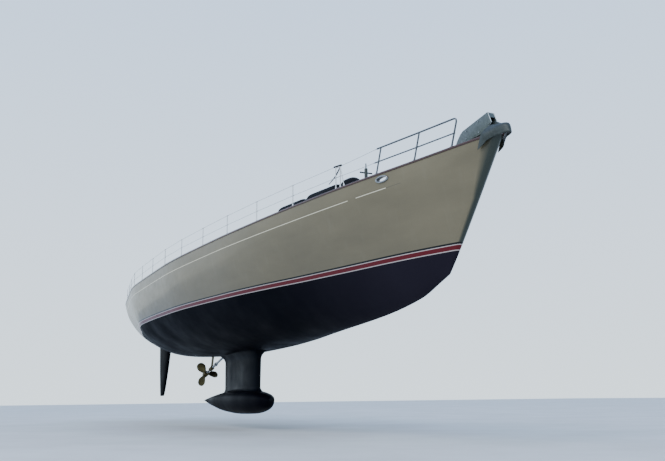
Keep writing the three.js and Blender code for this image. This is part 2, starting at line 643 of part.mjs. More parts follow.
function cleat(x, side) {
  const y = side * (railHalf(x) - 330);
  const z = deckHeight(x, y);
  const posts = [-70, 70].map((step) => rod([x + step, y, z - 12], [x + step, y, z + 95], 26, 6));
  const horns = rod([x - 210, y, z + 100], [x + 210, y, z + 100], 24, 6);
  return join(...posts, horns);
}

function hatchLids() {
  for (const { name, hinge, end, half } of HATCHES) {
    const away = Math.sign(end - hinge);
    const low = hatchTop({ hinge, end }) + GAP;
    const lid = box(hinge, end - away * 15, -half, half, low, low + HATCH.lid);
    const [back, front] = [Math.min(hinge, end), Math.max(hinge, end)];
    const lidTop = low + HATCH.lid;
    const pane = box(back + 90, front - 90, -half + 90, half - 90, lidTop - 1, lidTop + 10);
    add(name, join(lid, pane), WHITE);
  }
  const { back, front, half, frame, lid } = ROOF_HATCH;
  const low = HOUSE_ROOF + frame + GAP;
  const cover = box(back, front, -half, half, low, low + lid);
  const pane = box(back + 80, front - 80, -half + 80, half - 80, low + lid - 1, low + lid + 8);
  add('roof_hatch', join(cover, pane), WHITE);
}

// Half profile of the deckhouse at a section, from one deck edge over the roof to the other
function houseRing({ x, half, roof }, thick, low) {
  const lean = 0.9;
  const [y, top] = [half - thick, roof - thick];
  const arc = [0.94, 0.78, 0.45, 0].map((share) => [y * lean * share, top - ROOF_CROWN * share ** 2.4]);
  const shoulder = [y * lean, top - ROOF_CROWN - 60];
  const port = [[y, low], shoulder, ...arc.slice(0, 3)];
  return [...port, arc[3], ...port.map(([py, pz]) => [-py, pz]).reverse()].map(([py, pz]) => [x, py, pz]);
}
function deckhouse() {
  const outer = loft(HOUSE.map((row) => houseRing(row, 0, 1300)));
  const lastRow = HOUSE.length - 1;
  const room = HOUSE.map((row, i) => ({
    ...row, x: row.x - (i === 0 ? 150 : 0) + (i === lastRow ? HOUSE_WALL : 0),
  }));
  const inner = loft(room.map((row) => houseRing(row, HOUSE_WALL, 1200)));
  const spans = WINDOW_SPANS.map(([back, front]) => roundedWindow(back, front));
  const doorway = box(HOUSE_BACK - 100, HOUSE_BACK + 400, -DOORWAY.half, DOORWAY.half, DOORWAY.sill, 2700);
  const roofway = box(HOUSE_BACK - 100, SLIDE.front - 60, -DOORWAY.half, DOORWAY.half, 2300, 2700);
  const railFront = SLIDE.front + SLIDE.travel + 20;
  const rails = [-1, 1].flatMap((side) => [
    box(HOUSE_BACK + 10, railFront, side * (SLIDE.half + 12), side * (SLIDE.half + 52), 2480, slideLow + 45),
    box(HOUSE_BACK + 10, railFront,
      side * (SLIDE.half - 30), side * (SLIDE.half + 20), 2480, slideLow - GAP),
  ]);
  const { back, front, half, frame, wall } = ROOF_HATCH;
  const rim = box(back, front, -half, half, 2480, HOUSE_ROOF + frame);
  const skylight = box(back + wall, front - wall, -half + wall, half - wall, 2300, 2900);
  const hinges = DOOR_HINGES.map((z) => join(rod([...DOOR_AXIS, z], [...DOOR_AXIS, z + 60], 12, 8),
    box(HOUSE_BACK - 16, HOUSE_BACK + 20, DOORWAY.half + 2, DOORWAY.half + 16, z, z + 60)));
  const shell = cut(join(outer, ...rails, rim), inner, ...spans, skylight, doorway, roofway, deckCutter());
  add('deckhouse', join(shell, ...hinges), WHITE);
}
function roundedWindow(back, front) {
  const { low, high, corner } = WINDOW;
  const shape = new THREE.Shape();
  shape.moveTo(back + corner, low).lineTo(front - corner, low);
  shape.absarc(front - corner, low + corner, corner, -Math.PI / 2, 0);
  shape.absarc(front - corner, high - corner, corner, 0, Math.PI / 2);
  shape.absarc(back + corner, high - corner, corner, Math.PI / 2, Math.PI);
  shape.absarc(back + corner, low + corner, corner, Math.PI, 1.5 * Math.PI);
  const geometry = new THREE.ExtrudeGeometry(shape, { depth: 4000, bevelEnabled: false, curveSegments: 2 });
  return solid(geometry.rotateX(Math.PI / 2).translate(0, 2000, 0));
}
// What lies below the deck's top over the deckhouse, with the resting gap
function deckCutter() {
  const xs = stationXs(DECK_STARTS, 0.98);
  const rings = xs.map((x) => {
    const { side, deckEdge } = section(x);
    const edge = side(deckEdge);
    const half = inside(edge.y);
    const low = deckEdge + DECK_THICK + GAP;
    const top = [-half, -half / 2, 0, half / 2, half].map((y) => [edge.x, y, low + camber(half, y)]);
    return [[edge.x, half, 0], [edge.x, -half, 0], ...top];
  });
  return loft(rings);
}

function glazing() {
  // Panes stand just inside the walls and follow the deckhouse's sections
  const pane = (y0, y1) => {
    const outerFace = loft(HOUSE.map((row) => houseRing(row, HOUSE_WALL + GAP, 1200)));
    const lastRow = HOUSE.length - 1;
    const innerFace = loft(HOUSE.map((row, i) => {
      const x = row.x + (i === 0 ? 10 : 0) - (i === lastRow ? 10 : 0);
      return houseRing({ ...row, x }, HOUSE_WALL + GAP + WINDOW.glass, 1100);
    }));
    const band = box(HOUSE_BACK + HOUSE_WALL + 200, 1080, y0, y1, WINDOW.low - 60, WINDOW.high + 60);
    return cut(outerFace, innerFace).intersect(band);
  };
  add('side_glass_port', pane(900, 2000), GLASS);
  add('side_glass_starboard', pane(-2000, -900), GLASS);
}

function companionway() {
  const slide = loft([SLIDE.front, HOUSE_BACK - 40].map((x) => {
    const shares = [1, 0.6, 0.2, -0.2, -0.6, -1];
    const level = (lift) =>
      shares.map((share) => [x, SLIDE.half * share, slideLow + lift + 18 * (1 - share ** 2)]);
    return [...level(0), ...level(SLIDE.thick).reverse()];
  }));
  add('companionway_slide', slide, WHITE);
  const low = DOORWAY.sill + 6;
  const leaf = box(HOUSE_BACK, HOUSE_BACK + 40, -DOORWAY.half + 6, DOORWAY.half - 6, low, slideLow - 10);
  const knuckles = DOOR_HINGES.map((z) => join(
    rod([...DOOR_AXIS, z + 60 + GAP], [...DOOR_AXIS, z + 120], 12, 8),
    box(HOUSE_BACK - 16, HOUSE_BACK + 20, DOORWAY.half - 26, DOORWAY.half - 4, z + 60 + GAP, z + 120)));
  add('companionway_door', join(leaf, ...knuckles), VARNISH);
}

// The raised rim round the cockpit, with the four winch spindles on it
function coaming() {
  const { width, height, front, back } = COAMING;
  const top = deckHeight(WELL.back, WELL.half) + height;
  const rim = cut(
    prism(wellOutline(width, front - GAP * 10 - WELL.front, WELL.back - back), 1200, top),
    prism(wellOutline(0, front + 50 - WELL.front), 800, top + 10),
    deckCutter(),
    hull,
  );
  const bases = winchSpots().flatMap(([x, y]) => [
    rod([x, y, top - 5], [x, y, top + 30], WINCH.flange, 24),
    rod([x, y, top + 29], [x, y, top + WINCH.height - 30], WINCH.spindle, 16),
  ]);
  add('cockpit_coaming', join(rim, ...bases), WHITE);
  winchSpots().forEach(([x, y], i) => {
    const low = top + 30 + GAP;
    const neck = WINCH.radius * 0.62;
    const profile = [
      [bore(WINCH.spindle, 16), low], [WINCH.radius, low], [WINCH.radius, low + 45], [neck, low + 75],
      [neck, low + 175], [WINCH.radius * 0.8, low + 215], [WINCH.radius * 0.8, low + WINCH.height - 45],
      [0, low + WINCH.height - 40], [0, low + WINCH.height - 60 + GAP],
      [bore(WINCH.spindle, 16), low + WINCH.height - 60 + GAP], [bore(WINCH.spindle, 16), low]];
    const drum = add(WINCH_NAMES[i], turned(profile, 0, 0, 16), STEEL);
    drum.position.set(x, y, 0);
  });
}
const WINCH_NAMES = ['primary_winch_port', 'primary_winch_starboard', 'secondary_winch_port',
  'secondary_winch_starboard'];
function winchSpots() {
  return [WINCHES.primary, WINCHES.secondary].flatMap((x) => (
    [1, -1].map((side) => [x, side * (wellHalf(x) + COAMING.width / 2 + 5)])));
}

function cockpitFurniture() {
  for (const [name, side] of [['settee_port', 1], ['settee_starboard', -1]]) {
    const inner = side * (WELL.half - SEAT.depth);
    const locker = box(SEAT.back, SEAT.front,
      inner, side * (WELL.half - GAP), WELL.sole + GAP, WELL.sole + SEAT.height);
    add(name, locker, TEAK);
  }
  const { x, length, width, height, top } = TABLE;
  const leg = box(x - 500, x + 500, -140, 140, WELL.sole + GAP, WELL.sole + height);
  const under = WELL.sole + height;
  const board = box(x - length / 2, x + length / 2, -width / 2, width / 2, under - 1, under + top);
  add('cockpit_table', join(leg, board), TEAK);
}

function helm() {
  const { x, y, wheelRadius, rim, axle, pedestal } = HELM;
  const axleZ = WELL.sole + axle;
  for (const [side, tag] of [[1, 'port'], [-1, 'starboard']]) {
    const stand = loft([[0, 1], [0.7, 0.8], [1, 0.75]].map(([share, size]) => {
      const z = WELL.sole + GAP + share * (axle + 160);
      const [a, b] = [pedestal * size * 0.5, pedestal * size * 0.6];
      return [[-1, -1], [1, -1], [1, 1], [-1, 1]].map(([i, j]) => [x + i * a, side * y + j * b, z]);
    }));
    const spindle = rod([x - 60, side * y, axleZ], [x - 230, side * y, axleZ], 22, 12);
    add(`pedestal_${tag}`, join(stand, spindle), WHITE);
    const wheelX = x - 200;
    const hub = cut(rod([-32, 0, 0], [32, 0, 0], 52, 16), rod([-60, 0, 0], [60, 0, 0], bore(22, 12), 12));
    const spokes = [];
    for (let k = 0; k < 6; k += 1) {
      const turn = (k * Math.PI) / 3;
      const end = [0, wheelRadius * Math.cos(turn), wheelRadius * Math.sin(turn)];
      const start = [0, 40 * Math.cos(turn), 40 * Math.sin(turn)];
      spokes.push(rod(start, end, 11, 6));
    }
    const ring = solid(new THREE.TorusGeometry(wheelRadius, rim, 6, 28).rotateY(Math.PI / 2));
    const wheel = add(`wheel_${tag}`, join(ring, hub, ...spokes), STEEL);
    wheel.position.set(wheelX, side * y, axleZ);
  }
}

function mastCollar() {
  const { x, long, wide, height, wall } = MAST;
  const ring = new THREE.CylinderGeometry(1, 1, height + 60, 32).rotateX(Math.PI / 2);
  const low = deckHeight(x) - 60;
  const outer = ring.clone().scale(long, wide + 60, 1).translate(x, 0, low + (height + 60) / 2);
  const plug = ring.clone().scale(long - wall, wide + 60 - wall, 1).translate(x, 0, low + height / 2 - 20);
  add('mast_collar', cut(solid(outer), solid(plug), deckCutter()), STEEL);
}

function capstan() {
  const { x, radius, height } = CAPSTAN;
  const base = deckHeight(x, radius) - 20;
  const deckTop = deckHeight(x);
  const post = deckTop + height - 70;
  const plate = rod([x, 0, base], [x, 0, deckTop + 70], radius * 1.5, 24);
  const spindle = rod([x, 0, deckTop + 69], [x, 0, post], 40, 16);
  add('windlass_base', cut(join(plate, spindle), deckCutter()), STEEL);
  const low = deckTop + 70 + GAP;
  const end = low + height - 110;
  const hole = bore(40, 16);
  const profile = [[hole, low], [radius, low], [radius, low + 40], [radius * 0.62, low + 90],
    [radius * 0.62, low + 200], [radius * 0.85, low + 260], [radius * 0.85, end], [0, end + 12],
    [0, post + GAP], [hole, post + GAP], [hole, low]];
  const drum = add('windlass_drum', turned(profile, 0, 0, 16), STEEL);
  drum.position.set(x, 0, 0);
}

// A point on the rail, pushed inboard
const onRail = (x, side, inset, lift = 0) => [x, side * (railSide(x) - inset), railTop(x) + lift];

// A point on the pulpit's raked line over a foot, and the rails' ends behind its last foot
function pulpitHead(x, side, lift) {
  const [, y, z] = onRail(x, side, 50, lift);
  return [x + PULPIT.rake * (lift / PULPIT.height), y, z];
}
function pulpitTail(side, lift) {
  const [x] = pulpitHead(PULPIT.feet[2], side, lift);
  const [, y] = onRail(PULPIT.feet[2] - PULPIT.tail, side, 50);
  return [x - PULPIT.tail, y, railTop(PULPIT.feet[2] - PULPIT.tail) + lift];
}

function railWork() {
  const railBelow = slice(0, 1, ({ top }) => [top - 500, top + GAP], (y) => y + 60);
  const { first, pitch, height, radius, wire, inset } = STANCHION;
  const postX = (i) => first - pitch * i;
  const post = (x, side, size) => rod(onRail(x, side, inset, -20), onRail(x, side, inset, height), size, 6);
  const wires = [0.5, 0.985].map((share) => height * share);
  for (const [side, tag] of [[1, 'port'], [-1, 'starboard']]) {
    for (const span of SPANS) {
      const bars = [];
      for (let i = span.from; i <= span.to; i += 1) {
        bars.push(post(postX(i), side, radius));
        const [foot, collar] = [-20, 60].map((lift) => onRail(postX(i), side, inset, lift));
        bars.push(rod(foot, collar, radius * 2, 6, radius * 1.2));
      }
      const next = span.tag === 'aft' ? [PUSHPIT.feet[0], 50] : [postX(span.to + 1), inset];
      for (const lift of wires) {
        for (let i = span.from; i < span.to; i += 1) {
          const [from, to] = [i, i + 1].map((k) => onRail(postX(k), side, inset, lift));
          bars.push(rod(from, to, wire, 4));
        }
        const last = onRail(postX(span.to), side, inset, lift);
        bars.push(rod(last, onRail(next[0], side, next[1], lift), wire, 4));
      }
      if (span.tag === 'fore') {
        bars.push(post(GATE.post, side, radius));
        const corner = onRail(GATE.post, side, inset, GATE.height);
        bars.push(rod(onRail(postX(0), side, inset, GATE.height), corner, radius, 6));
        bars.push(rod(onRail(GATE.brace, side, inset, -20), corner, radius, 6));
        wires.forEach((lift, k) => {
          const end = new THREE.Vector3(...pulpitTail(side, k ? PULPIT.height : PULPIT.middle));
          const from = new THREE.Vector3(...onRail(GATE.post, side, inset, lift));
          const back = from.clone().sub(end).setLength(GAP * 2);
          bars.push(rod(from.toArray(), end.add(back).toArray(), wire, 4));
        });
      }
      const stopAt = (lift) => onRail(next[0], side, next[1], lift);
      const stop = span.tag === 'aft'
        ? rod(stopAt(-30), stopAt(PUSHPIT.height), PUSHPIT.radius + GAP, 6)
        : rod(stopAt(-20), stopAt(height), radius + GAP, 6);
      add(`lifelines_${tag}_${span.tag}`, cut(join(...bars), railBelow, stop), STEEL);
    }
  }
  for (const [side, tag] of [[1, 'port'], [-1, 'starboard']]) {
    const foot = (x) => {
      const [, y, z] = onRail(x, side, 50, -30);
      return [x - PULPIT.rake * 30 / PULPIT.height, y, z];
    };
    const { feet } = PULPIT;
    const posts = feet.map((x) => [foot(x), pulpitHead(x, side, PULPIT.height)]);
    const rail = (lift) => [...feet.map((x) => pulpitHead(x, side, lift)), pulpitTail(side, lift)];
    const [top, middle] = [rail(PULPIT.height), rail(PULPIT.middle)];
    const rails = join(frameOf(posts, PULPIT.radius), frameOf([top], PULPIT.radius),
      frameOf([middle], PULPIT.radius * 0.8), ball(top[0], PULPIT.radius));
    add(`pulpit_${tag}`, cut(rails, railBelow), STEEL);
  }
  const { feet } = PUSHPIT;
  const at = (x, side, lift) => onRail(x, side, 50, lift);
  const posts = feet.flatMap((x) => [1, -1].map((side) => [at(x, side, -30), at(x, side, PUSHPIT.height)]));
  const stern = (lift) => {
    const port = feet.map((x) => at(x, 1, lift));
    const round = [TRANSOM_X + 60, railHalf(TRANSOM_X) - 250, railHeight(TRANSOM_X) + lift];
    const starboard = [...port, round].map(([x, y, z]) => [x, -y, z]).reverse();
    return [...port, round, ...starboard];
  };
  const inner = [-1, 1].map((side) => [[TRANSOM_X + 60, side * 900, railHeight(TRANSOM_X) - 30],
    [TRANSOM_X + 60, side * 900, railHeight(TRANSOM_X) + PUSHPIT.height]]);
  const ends = [1, -1].map((side) => ball(at(feet[0], side, PUSHPIT.height), PUSHPIT.radius));
  const hoops = frameOf([stern(PUSHPIT.height), stern(PUSHPIT.middle)], PUSHPIT.radius);
  add('pushpit', cut(join(frameOf([...posts, ...inner], PUSHPIT.radius), hoops, ...ends), railBelow), STEEL);
}

function anchorGear() {
  const arm = cut(plate(ARM_PROFILE, -ARM.half, ARM.half),
    box(ARM.pocketBack, 16700, -ARM.pocketHalf, ARM.pocketHalf, ARM.pocketLow, ARM.pocketTop), deckCutter());
  add('anchor_arm', arm, GREY_METAL);
  const mirrored = ([x, y, z]) => [x, -y, z];
  const otherSide = CLAW.slice(0, -1).reverse().map(({ root, knee, lip, thick }) => (
    { root: mirrored(root), knee: mirrored(knee), lip: mirrored(lip), thick }));
  const centre = new THREE.Vector3(...CLAW_CENTRE);
  const rings = [...CLAW, ...otherSide].map(({ root, knee, lip, thick }) => {
    const outer = [root, knee, lip];
    const inner = outer.map((point) => {
      const p = new THREE.Vector3(...point);
      return p.addScaledVector(centre.clone().sub(p).normalize(), thick).toArray();
    });
    return [...outer, ...inner.reverse()];
  });
  add('anchor', join(loft(rings), plate(SHANK_PROFILE, -SHANK_THICK / 2, SHANK_THICK / 2)), GREY_METAL);
  const cheeks = cut(box(ROLLER.back, ROLLER.front, -ROLLER.half, ROLLER.half, ROLLER.low, ROLLER.high),
    box(ROLLER.back + 60, ROLLER.front + 10, -ROLLER.slot, ROLLER.slot, ROLLER.low + 30, ROLLER.high + 10));
  add('bow_roller', cheeks, GREY_METAL);
}

sailHull();
underwaterParts();
driveLine();
deckPlate();
chainplates();
mooringBitts();
bulwarkAndRail();
hatchLids();
deckhouse();
glazing();
companionway();
coaming();
cockpitFurniture();
helm();
mastCollar();
capstan();
railWork();
anchorGear();
fenders();

export default boat;
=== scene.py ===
# %% [markdown]
# A large sloop out of the water
#
# The boat hangs above a quay with her mast out, so the whole hull shows: topsides, stripes, bottom paint,
# keel, rudder and propeller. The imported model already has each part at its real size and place. This lesson
# gives each part its fine surface and its finish. Lengths are in metres, +X is the bow, +Y is port, +Z is
# up, and zero height is the waterline.

import json
from math import ceil, copysign, cos, pi, radians, sin, sqrt

import bmesh
import bpy
from mathutils import Matrix, Vector

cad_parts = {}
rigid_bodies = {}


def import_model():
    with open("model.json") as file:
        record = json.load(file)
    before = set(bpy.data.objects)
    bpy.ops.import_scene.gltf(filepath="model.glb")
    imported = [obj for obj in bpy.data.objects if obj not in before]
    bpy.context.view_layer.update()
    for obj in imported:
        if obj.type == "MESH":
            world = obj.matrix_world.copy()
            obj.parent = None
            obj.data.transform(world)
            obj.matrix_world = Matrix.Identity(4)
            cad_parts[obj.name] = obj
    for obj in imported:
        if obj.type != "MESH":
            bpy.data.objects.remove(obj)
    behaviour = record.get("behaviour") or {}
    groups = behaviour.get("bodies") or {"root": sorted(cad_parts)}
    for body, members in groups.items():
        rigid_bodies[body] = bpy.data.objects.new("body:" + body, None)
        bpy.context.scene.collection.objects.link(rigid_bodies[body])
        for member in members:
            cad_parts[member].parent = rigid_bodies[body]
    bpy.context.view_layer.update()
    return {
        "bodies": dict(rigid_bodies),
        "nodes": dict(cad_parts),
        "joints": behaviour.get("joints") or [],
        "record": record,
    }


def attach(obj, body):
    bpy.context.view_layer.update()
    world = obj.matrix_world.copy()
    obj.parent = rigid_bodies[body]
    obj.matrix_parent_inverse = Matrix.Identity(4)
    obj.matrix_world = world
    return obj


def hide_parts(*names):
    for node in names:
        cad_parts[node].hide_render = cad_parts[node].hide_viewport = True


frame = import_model()

# %% [markdown]
# The camera
#
# The picture is taken by a person who stands low on the quay, ahead of the boat and a little to starboard,
# and looks up at her. A camera needs three directions: forward, up and right. It is easier to read them
# from one matrix than from three angles, so the matrix is built from the forward and up directions.

# %% Camera on the quay
UP = Vector((0, 0, 1))
CAMERA_PLACE = Vector((28.51, -9.375, -3.07))
CAMERA_FORWARD = Vector((-0.8848, 0.4135, 0.2150))
CAMERA_UP = Vector((0.1993, -0.0813, 0.9766))
CAMERA_LENS = 41.18           # millimetres
SENSOR_WIDTH = 36             # millimetres
CAMERA_FAR = 500


def aim(thing, place, forward, up):
    """Places a camera or light so that it looks along forward."""
    back = -forward.normalized()
    right = up.cross(back).normalized()
    upright = back.cross(right)
    turn = Matrix((right, upright, back)).transposed()
    thing.matrix_world = Matrix.Translation(place) @ turn.to_4x4()


camera = bpy.data.objects.new("camera", bpy.data.cameras.new("camera"))
bpy.context.collection.objects.link(camera)
camera.data.sensor_width = SENSOR_WIDTH
camera.data.lens = CAMERA_LENS
camera.data.clip_end = CAMERA_FAR
aim(camera, CAMERA_PLACE, CAMERA_FORWARD, CAMERA_UP)
bpy.context.scene.camera = camera
print("camera", camera.data.lens, "mm at", tuple(camera.location))

# %% [markdown]
# Words for building finishes
#
# A finish is a small graph of nodes. Writing each graph by hand is long, so one class keeps the few words
# that all finishes need: a noise, a blend of two values, a ramp, a bump. Colours are written as the eye
# reads them on a screen and changed to the linear values that the renderer mixes. A finish also knows its
# material slot.

# %% A class for finishes
def linear(red, green, blue):
    """Screen colour, 0 to 255, to linear."""
    def channel(value):
        value /= 255
        return value / 12.92 if value <= 0.04045 else ((value + 0.055) / 1.055) ** 2.4
    return (channel(red), channel(green), channel(blue), 1)


class Finish:
    """One material and the nodes that make it."""

    def __init__(self, name, color, roughness, slot=None, metallic=0.0, coat=0.0, coat_roughness=0.05):
        self.slot = slot
        self.material = bpy.data.materials.new(name)
        self.material.use_nodes = True
        self.tree = self.material.node_tree
        self.shader = self.tree.nodes["Principled BSDF"]
        self.set("Base Color", linear(*color))
        self.set("Roughness", roughness)
        self.set("Metallic", metallic)
        self.set("Coat Weight", coat)
        self.set("Coat Roughness", coat_roughness)
        self.material.diffuse_color = linear(*color)

    def set(self, socket, value):
        """A fixed number or colour, or the output of another node."""
        if isinstance(value, bpy.types.NodeSocket):
            self.tree.links.new(value, self.shader.inputs[socket])
        else:
            self.shader.inputs[socket].default_value = value

    def node(self, kind, settings=None, **inputs):
        """A node with its settings; inputs are named with _ for a space."""
        made = self.tree.nodes.new(kind)
        for key, value in (settings or {}).items():
            setattr(made, key, value)
        for key, value in inputs.items():
            self.feed(made, key.replace("_", " "), value)
        return made

    def feed(self, node, key, value):
        socket = node.inputs[int(key) if key.isdigit() else key]
        if isinstance(value, bpy.types.NodeSocket):
            self.tree.links.new(value, socket)
        else:
            socket.default_value = value

    def place(self, scale=(1, 1, 1), kind="Object"):
        """Position on the object, stretched by scale, so that a pattern keeps its place."""
        coordinate = self.node("ShaderNodeTexCoord").outputs[kind]
        return self.node("ShaderNodeMapping", Vector=coordinate, Scale=scale).outputs[0]

    def uv(self, letter):
        """One of the two lengths that the mesh carries in its UV map."""
        return self.axis(self.place(kind="UV"), letter)

    def axis(self, vector, letter):
        return self.node("ShaderNodeSeparateXYZ", Vector=vector).outputs[letter]

    def noise(self, vector, scale, detail=3.0, rough=0.5):
        made = self.node("ShaderNodeTexNoise", Vector=vector, Scale=scale, Detail=detail, Roughness=rough)
        return made.outputs["Fac"]

    def math(self, operation, a, b=0.0, c=0.0):
        made = self.node("ShaderNodeMath", {"operation": operation})
        for index, value in enumerate((a, b, c)):
            self.feed(made, str(index), value)
        return made.outputs[0]

    def ramp(self, value, low, high, start=0.0, end=1.0):
        """Value between low and high, spread from start to end."""
        made = self.node("ShaderNodeMapRange", {"clamp": True})
        for key, number in zip(("Value", "From Min", "From Max", "To Min", "To Max"),
                               (value, low, high, start, end)):
            self.feed(made, key, number)
        return made.outputs[0]

    def between(self, value, low, high, soft):
        """One inside a band and zero outside it, with soft edges."""
        rise = self.ramp(value, low - soft, low + soft)
        fall = self.ramp(value, high - soft, high + soft, 1.0, 0.0)
        return self.math("MULTIPLY", rise, fall)

    def mix(self, factor, first, second):
        """Blend of two colours, or of two colour outputs."""
        made = self.node("ShaderNodeMix", {"data_type": "RGBA"})
        for key, value in (("0", factor), ("6", first), ("7", second)):
            self.feed(made, key, linear(*value) if isinstance(value, tuple) else value)
        return made.outputs[2]

    def bump(self, height, distance, strength=1.0):
        made = self.node("ShaderNodeBump", Height=height, Distance=distance, Strength=strength)
        self.tree.links.new(made.outputs[0], self.shader.inputs["Normal"])


# %% [markdown]
# The quay and the light
#
# The real sky is overcast, which is the softest light there is: a pale dome with a slightly brighter part.
# A gradient on the world gives that dome, one wide lamp gives the brighter part, and the pale floor throws
# light up under the bottom as the quay does.

# %% Floor, sky and lamp
FLOOR_HEIGHT = -4.15
FLOOR_SIZE = 400
SKY_HIGH = (0.44, 0.63, 1.0, 1)
SKY_LOW = (0.80, 0.92, 1.0, 1)
SKY_STRENGTH = 1.75
SKY_HIGH_FROM = 0.8           # from here up the sky has its high colour
CLOUD_PLACE = (26, -34, 30)
CLOUD_SIZE = 30
CLOUD_POWER = 10000
CLOUD_COLOR = (1.0, 0.97, 0.93)


def make_floor():
    mesh = bpy.data.meshes.new("floor")
    half = FLOOR_SIZE / 2
    corners = [(-half, -half), (half, -half), (half, half), (-half, half)]
    mesh.from_pydata([(x, y, FLOOR_HEIGHT) for x, y in corners], [], [(0, 1, 2, 3)])
    floor = bpy.data.objects.new("floor", mesh)
    bpy.context.collection.objects.link(floor)
    finish = Finish("floor_paint", (205, 203, 198), 0.8)
    cloud = finish.noise(finish.place(), 0.35, 5.0, 0.6)
    finish.set("Base Color", finish.mix(finish.ramp(cloud, 0.35, 0.65), (198, 196, 191), (210, 208, 203)))
    floor.data.materials.append(finish.material)


def make_sky():
    world = bpy.data.worlds.new("overcast")
    bpy.context.scene.world = world
    world.use_nodes = True
    tree = world.node_tree
    direction = tree.nodes.new("ShaderNodeTexCoord").outputs["Generated"]
    split = tree.nodes.new("ShaderNodeSeparateXYZ")
    tree.links.new(direction, split.inputs[0])
    ramp = tree.nodes.new("ShaderNodeValToRGB")
    ramp.color_ramp.elements[0].color = SKY_LOW
    ramp.color_ramp.elements[1].color = SKY_HIGH
    ramp.color_ramp.elements[1].position = SKY_HIGH_FROM
    tree.links.new(split.outputs["Z"], ramp.inputs[0])
    background = tree.nodes["Background"]
    tree.links.new(ramp.outputs[0], background.inputs["Color"])
    background.inputs["Strength"].default_value = SKY_STRENGTH


def make_lamp():
    lamp = bpy.data.objects.new("bright_cloud", bpy.data.lights.new("bright_cloud", "AREA"))
    bpy.context.collection.objects.link(lamp)
    lamp.data.size = CLOUD_SIZE
    lamp.data.energy = CLOUD_POWER
    lamp.data.color = CLOUD_COLOR
    aim(lamp, Vector(CLOUD_PLACE), -Vector(CLOUD_PLACE), UP)


make_floor()
make_sky()
make_lamp()
print("floor at", FLOOR_HEIGHT)

# %% [markdown]
# Meshes from rows of points
#
# Nearly every piece of a boat is a skin over ribs, a tube along a line or a turned shape. Each of those is
# a grid: rows of points joined to the next row. One small class collects such grids, so that a piece of
# many bars is still one mesh. Small turned fittings are written as a workshop drawing gives them, in
# millimetres.

# %% A class for meshes
def circle(count):
    """Angles round a circle, in equal steps."""
    return [2 * pi * k / count for k in range(count)]


def heading(turn):
    """A level direction at an angle from the bow."""
    return Vector((cos(turn), sin(turn), 0))


def mirrored(points):
    """The same points on the starboard side, in the opposite order."""
    return [Vector((x, -y, z)) for x, y, z in reversed(points)]


def bend(start, corner, end, steps):
    """A curve from start to end that bends towards the corner."""
    shares = [k / steps for k in range(steps + 1)]
    return [start * (1 - t) ** 2 + corner * 2 * t * (1 - t) + end * t ** 2 for t in shares]


def mm(*profile):
    """A profile of radius and height, from millimetres to metres."""
    return [(radius / 1000, height / 1000) for radius, height in profile]


class Shape:
    """Points and faces of one piece."""

    def __init__(self):
        self.points = []
        self.faces = []
        self.uvs = {}

    def rows(self, rows, across=False, along=False, uv=None):
        """Joins rows of points. across closes each row, along joins the last row to the first."""
        start = len(self.points)
        count = len(rows[0])
        for r, row in enumerate(rows):
            for i, point in enumerate(row):
                if uv:
                    self.uvs[len(self.points)] = uv(r, i, point)
                self.points.append(tuple(point))
        for r in range(len(rows) - (0 if along else 1)):
            for i in range(count - (0 if across else 1)):
                a, b = start + r * count, start + ((r + 1) % len(rows)) * count
                j = (i + 1) % count
                self.faces.append((a + i, a + j, b + j, b + i))
        return self

    def lid(self, ring, flip=False):
        """A flat face over a ring of points."""
        start = len(self.points)
        self.points.extend(tuple(p) for p in ring)
        order = list(range(start, start + len(ring)))
        self.faces.append(tuple(reversed(order)) if flip else tuple(order))
        return self

    def skin(self, rings, along=False):
        """A closed skin over rings, with flat ends unless along joins them."""
        self.rows(rings, across=True, along=along)
        if not along:
            self.lid(rings[0], flip=True)
            self.lid(rings[-1])
        return self

    def tube(self, path, radius, sides=12, end=None):
        """A round bar along a path, whose radius may run to another at the end."""
        path = [Vector(p) for p in path]
        last = radius if end is None else end
        side = None
        rings = []
        for i, point in enumerate(path):
            ahead = path[min(i + 1, len(path) - 1)] - path[max(i - 1, 0)]
            ahead.normalize()
            if side is None:
                side = ahead.orthogonal().normalized()
            side = (side - ahead * side.dot(ahead)).normalized()
            other = ahead.cross(side)
            here = radius + (last - radius) * i / max(1, len(path) - 1)
            rings.append([point + side * (here * cos(t)) + other * (here * sin(t)) for t in circle(sides)])
        return self.skin(rings)

    def turned(self, profile, centre, sides=32, axis=(0, 0, 1)):
        """A profile of radius and height turned about an axis through centre."""
        axis = Vector(axis).normalized()
        side = axis.orthogonal().normalized()
        other = axis.cross(side)
        centre = Vector(centre)
        rings = []
        for radius, height in profile:
            rings.append([centre + axis * height + side * (radius * cos(t)) + other * (radius * sin(t))
                          for t in circle(sides)])
        return self.skin(rings)

    def block(self, low, high, round_off=0.0, steps=2):
        """A box whose upright edges and top edge are rounded by stacking rounded outlines."""
        (x0, y0, z0), (x1, y1, z1) = low, high
        rings = []
        for inset, z in edge_steps(z0, z1, round_off, steps):
            rings.append(rounded_rectangle(x0 + inset, x1 - inset, y0 + inset, y1 - inset,
                                           max(round_off - inset * 0.5, 0.0005), z, steps))
        return self.skin(rings)

    def make(self, name, finish, *nodes, body="root", slot=None, smooth=40):
        """The Blender object: its mesh, finish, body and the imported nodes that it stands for."""
        mesh = bpy.data.meshes.new(name)
        mesh.from_pydata(self.points, [], self.faces)
        if self.uvs:
            layer = mesh.uv_layers.new(name="along_and_across")
            for loop in mesh.loops:
                layer.data[loop.index].uv = self.uvs.get(loop.vertex_index, (0, 0))
        clean(mesh)
        piece = bpy.data.objects.new(name, mesh)
        bpy.context.collection.objects.link(piece)
        mesh.materials.append(finish.material)
        mesh.shade_smooth()
        mesh.set_sharp_from_angle(angle=radians(smooth))
        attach(piece, body)
        slot or finish.slot
        if nodes:
            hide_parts(*nodes)
        return piece


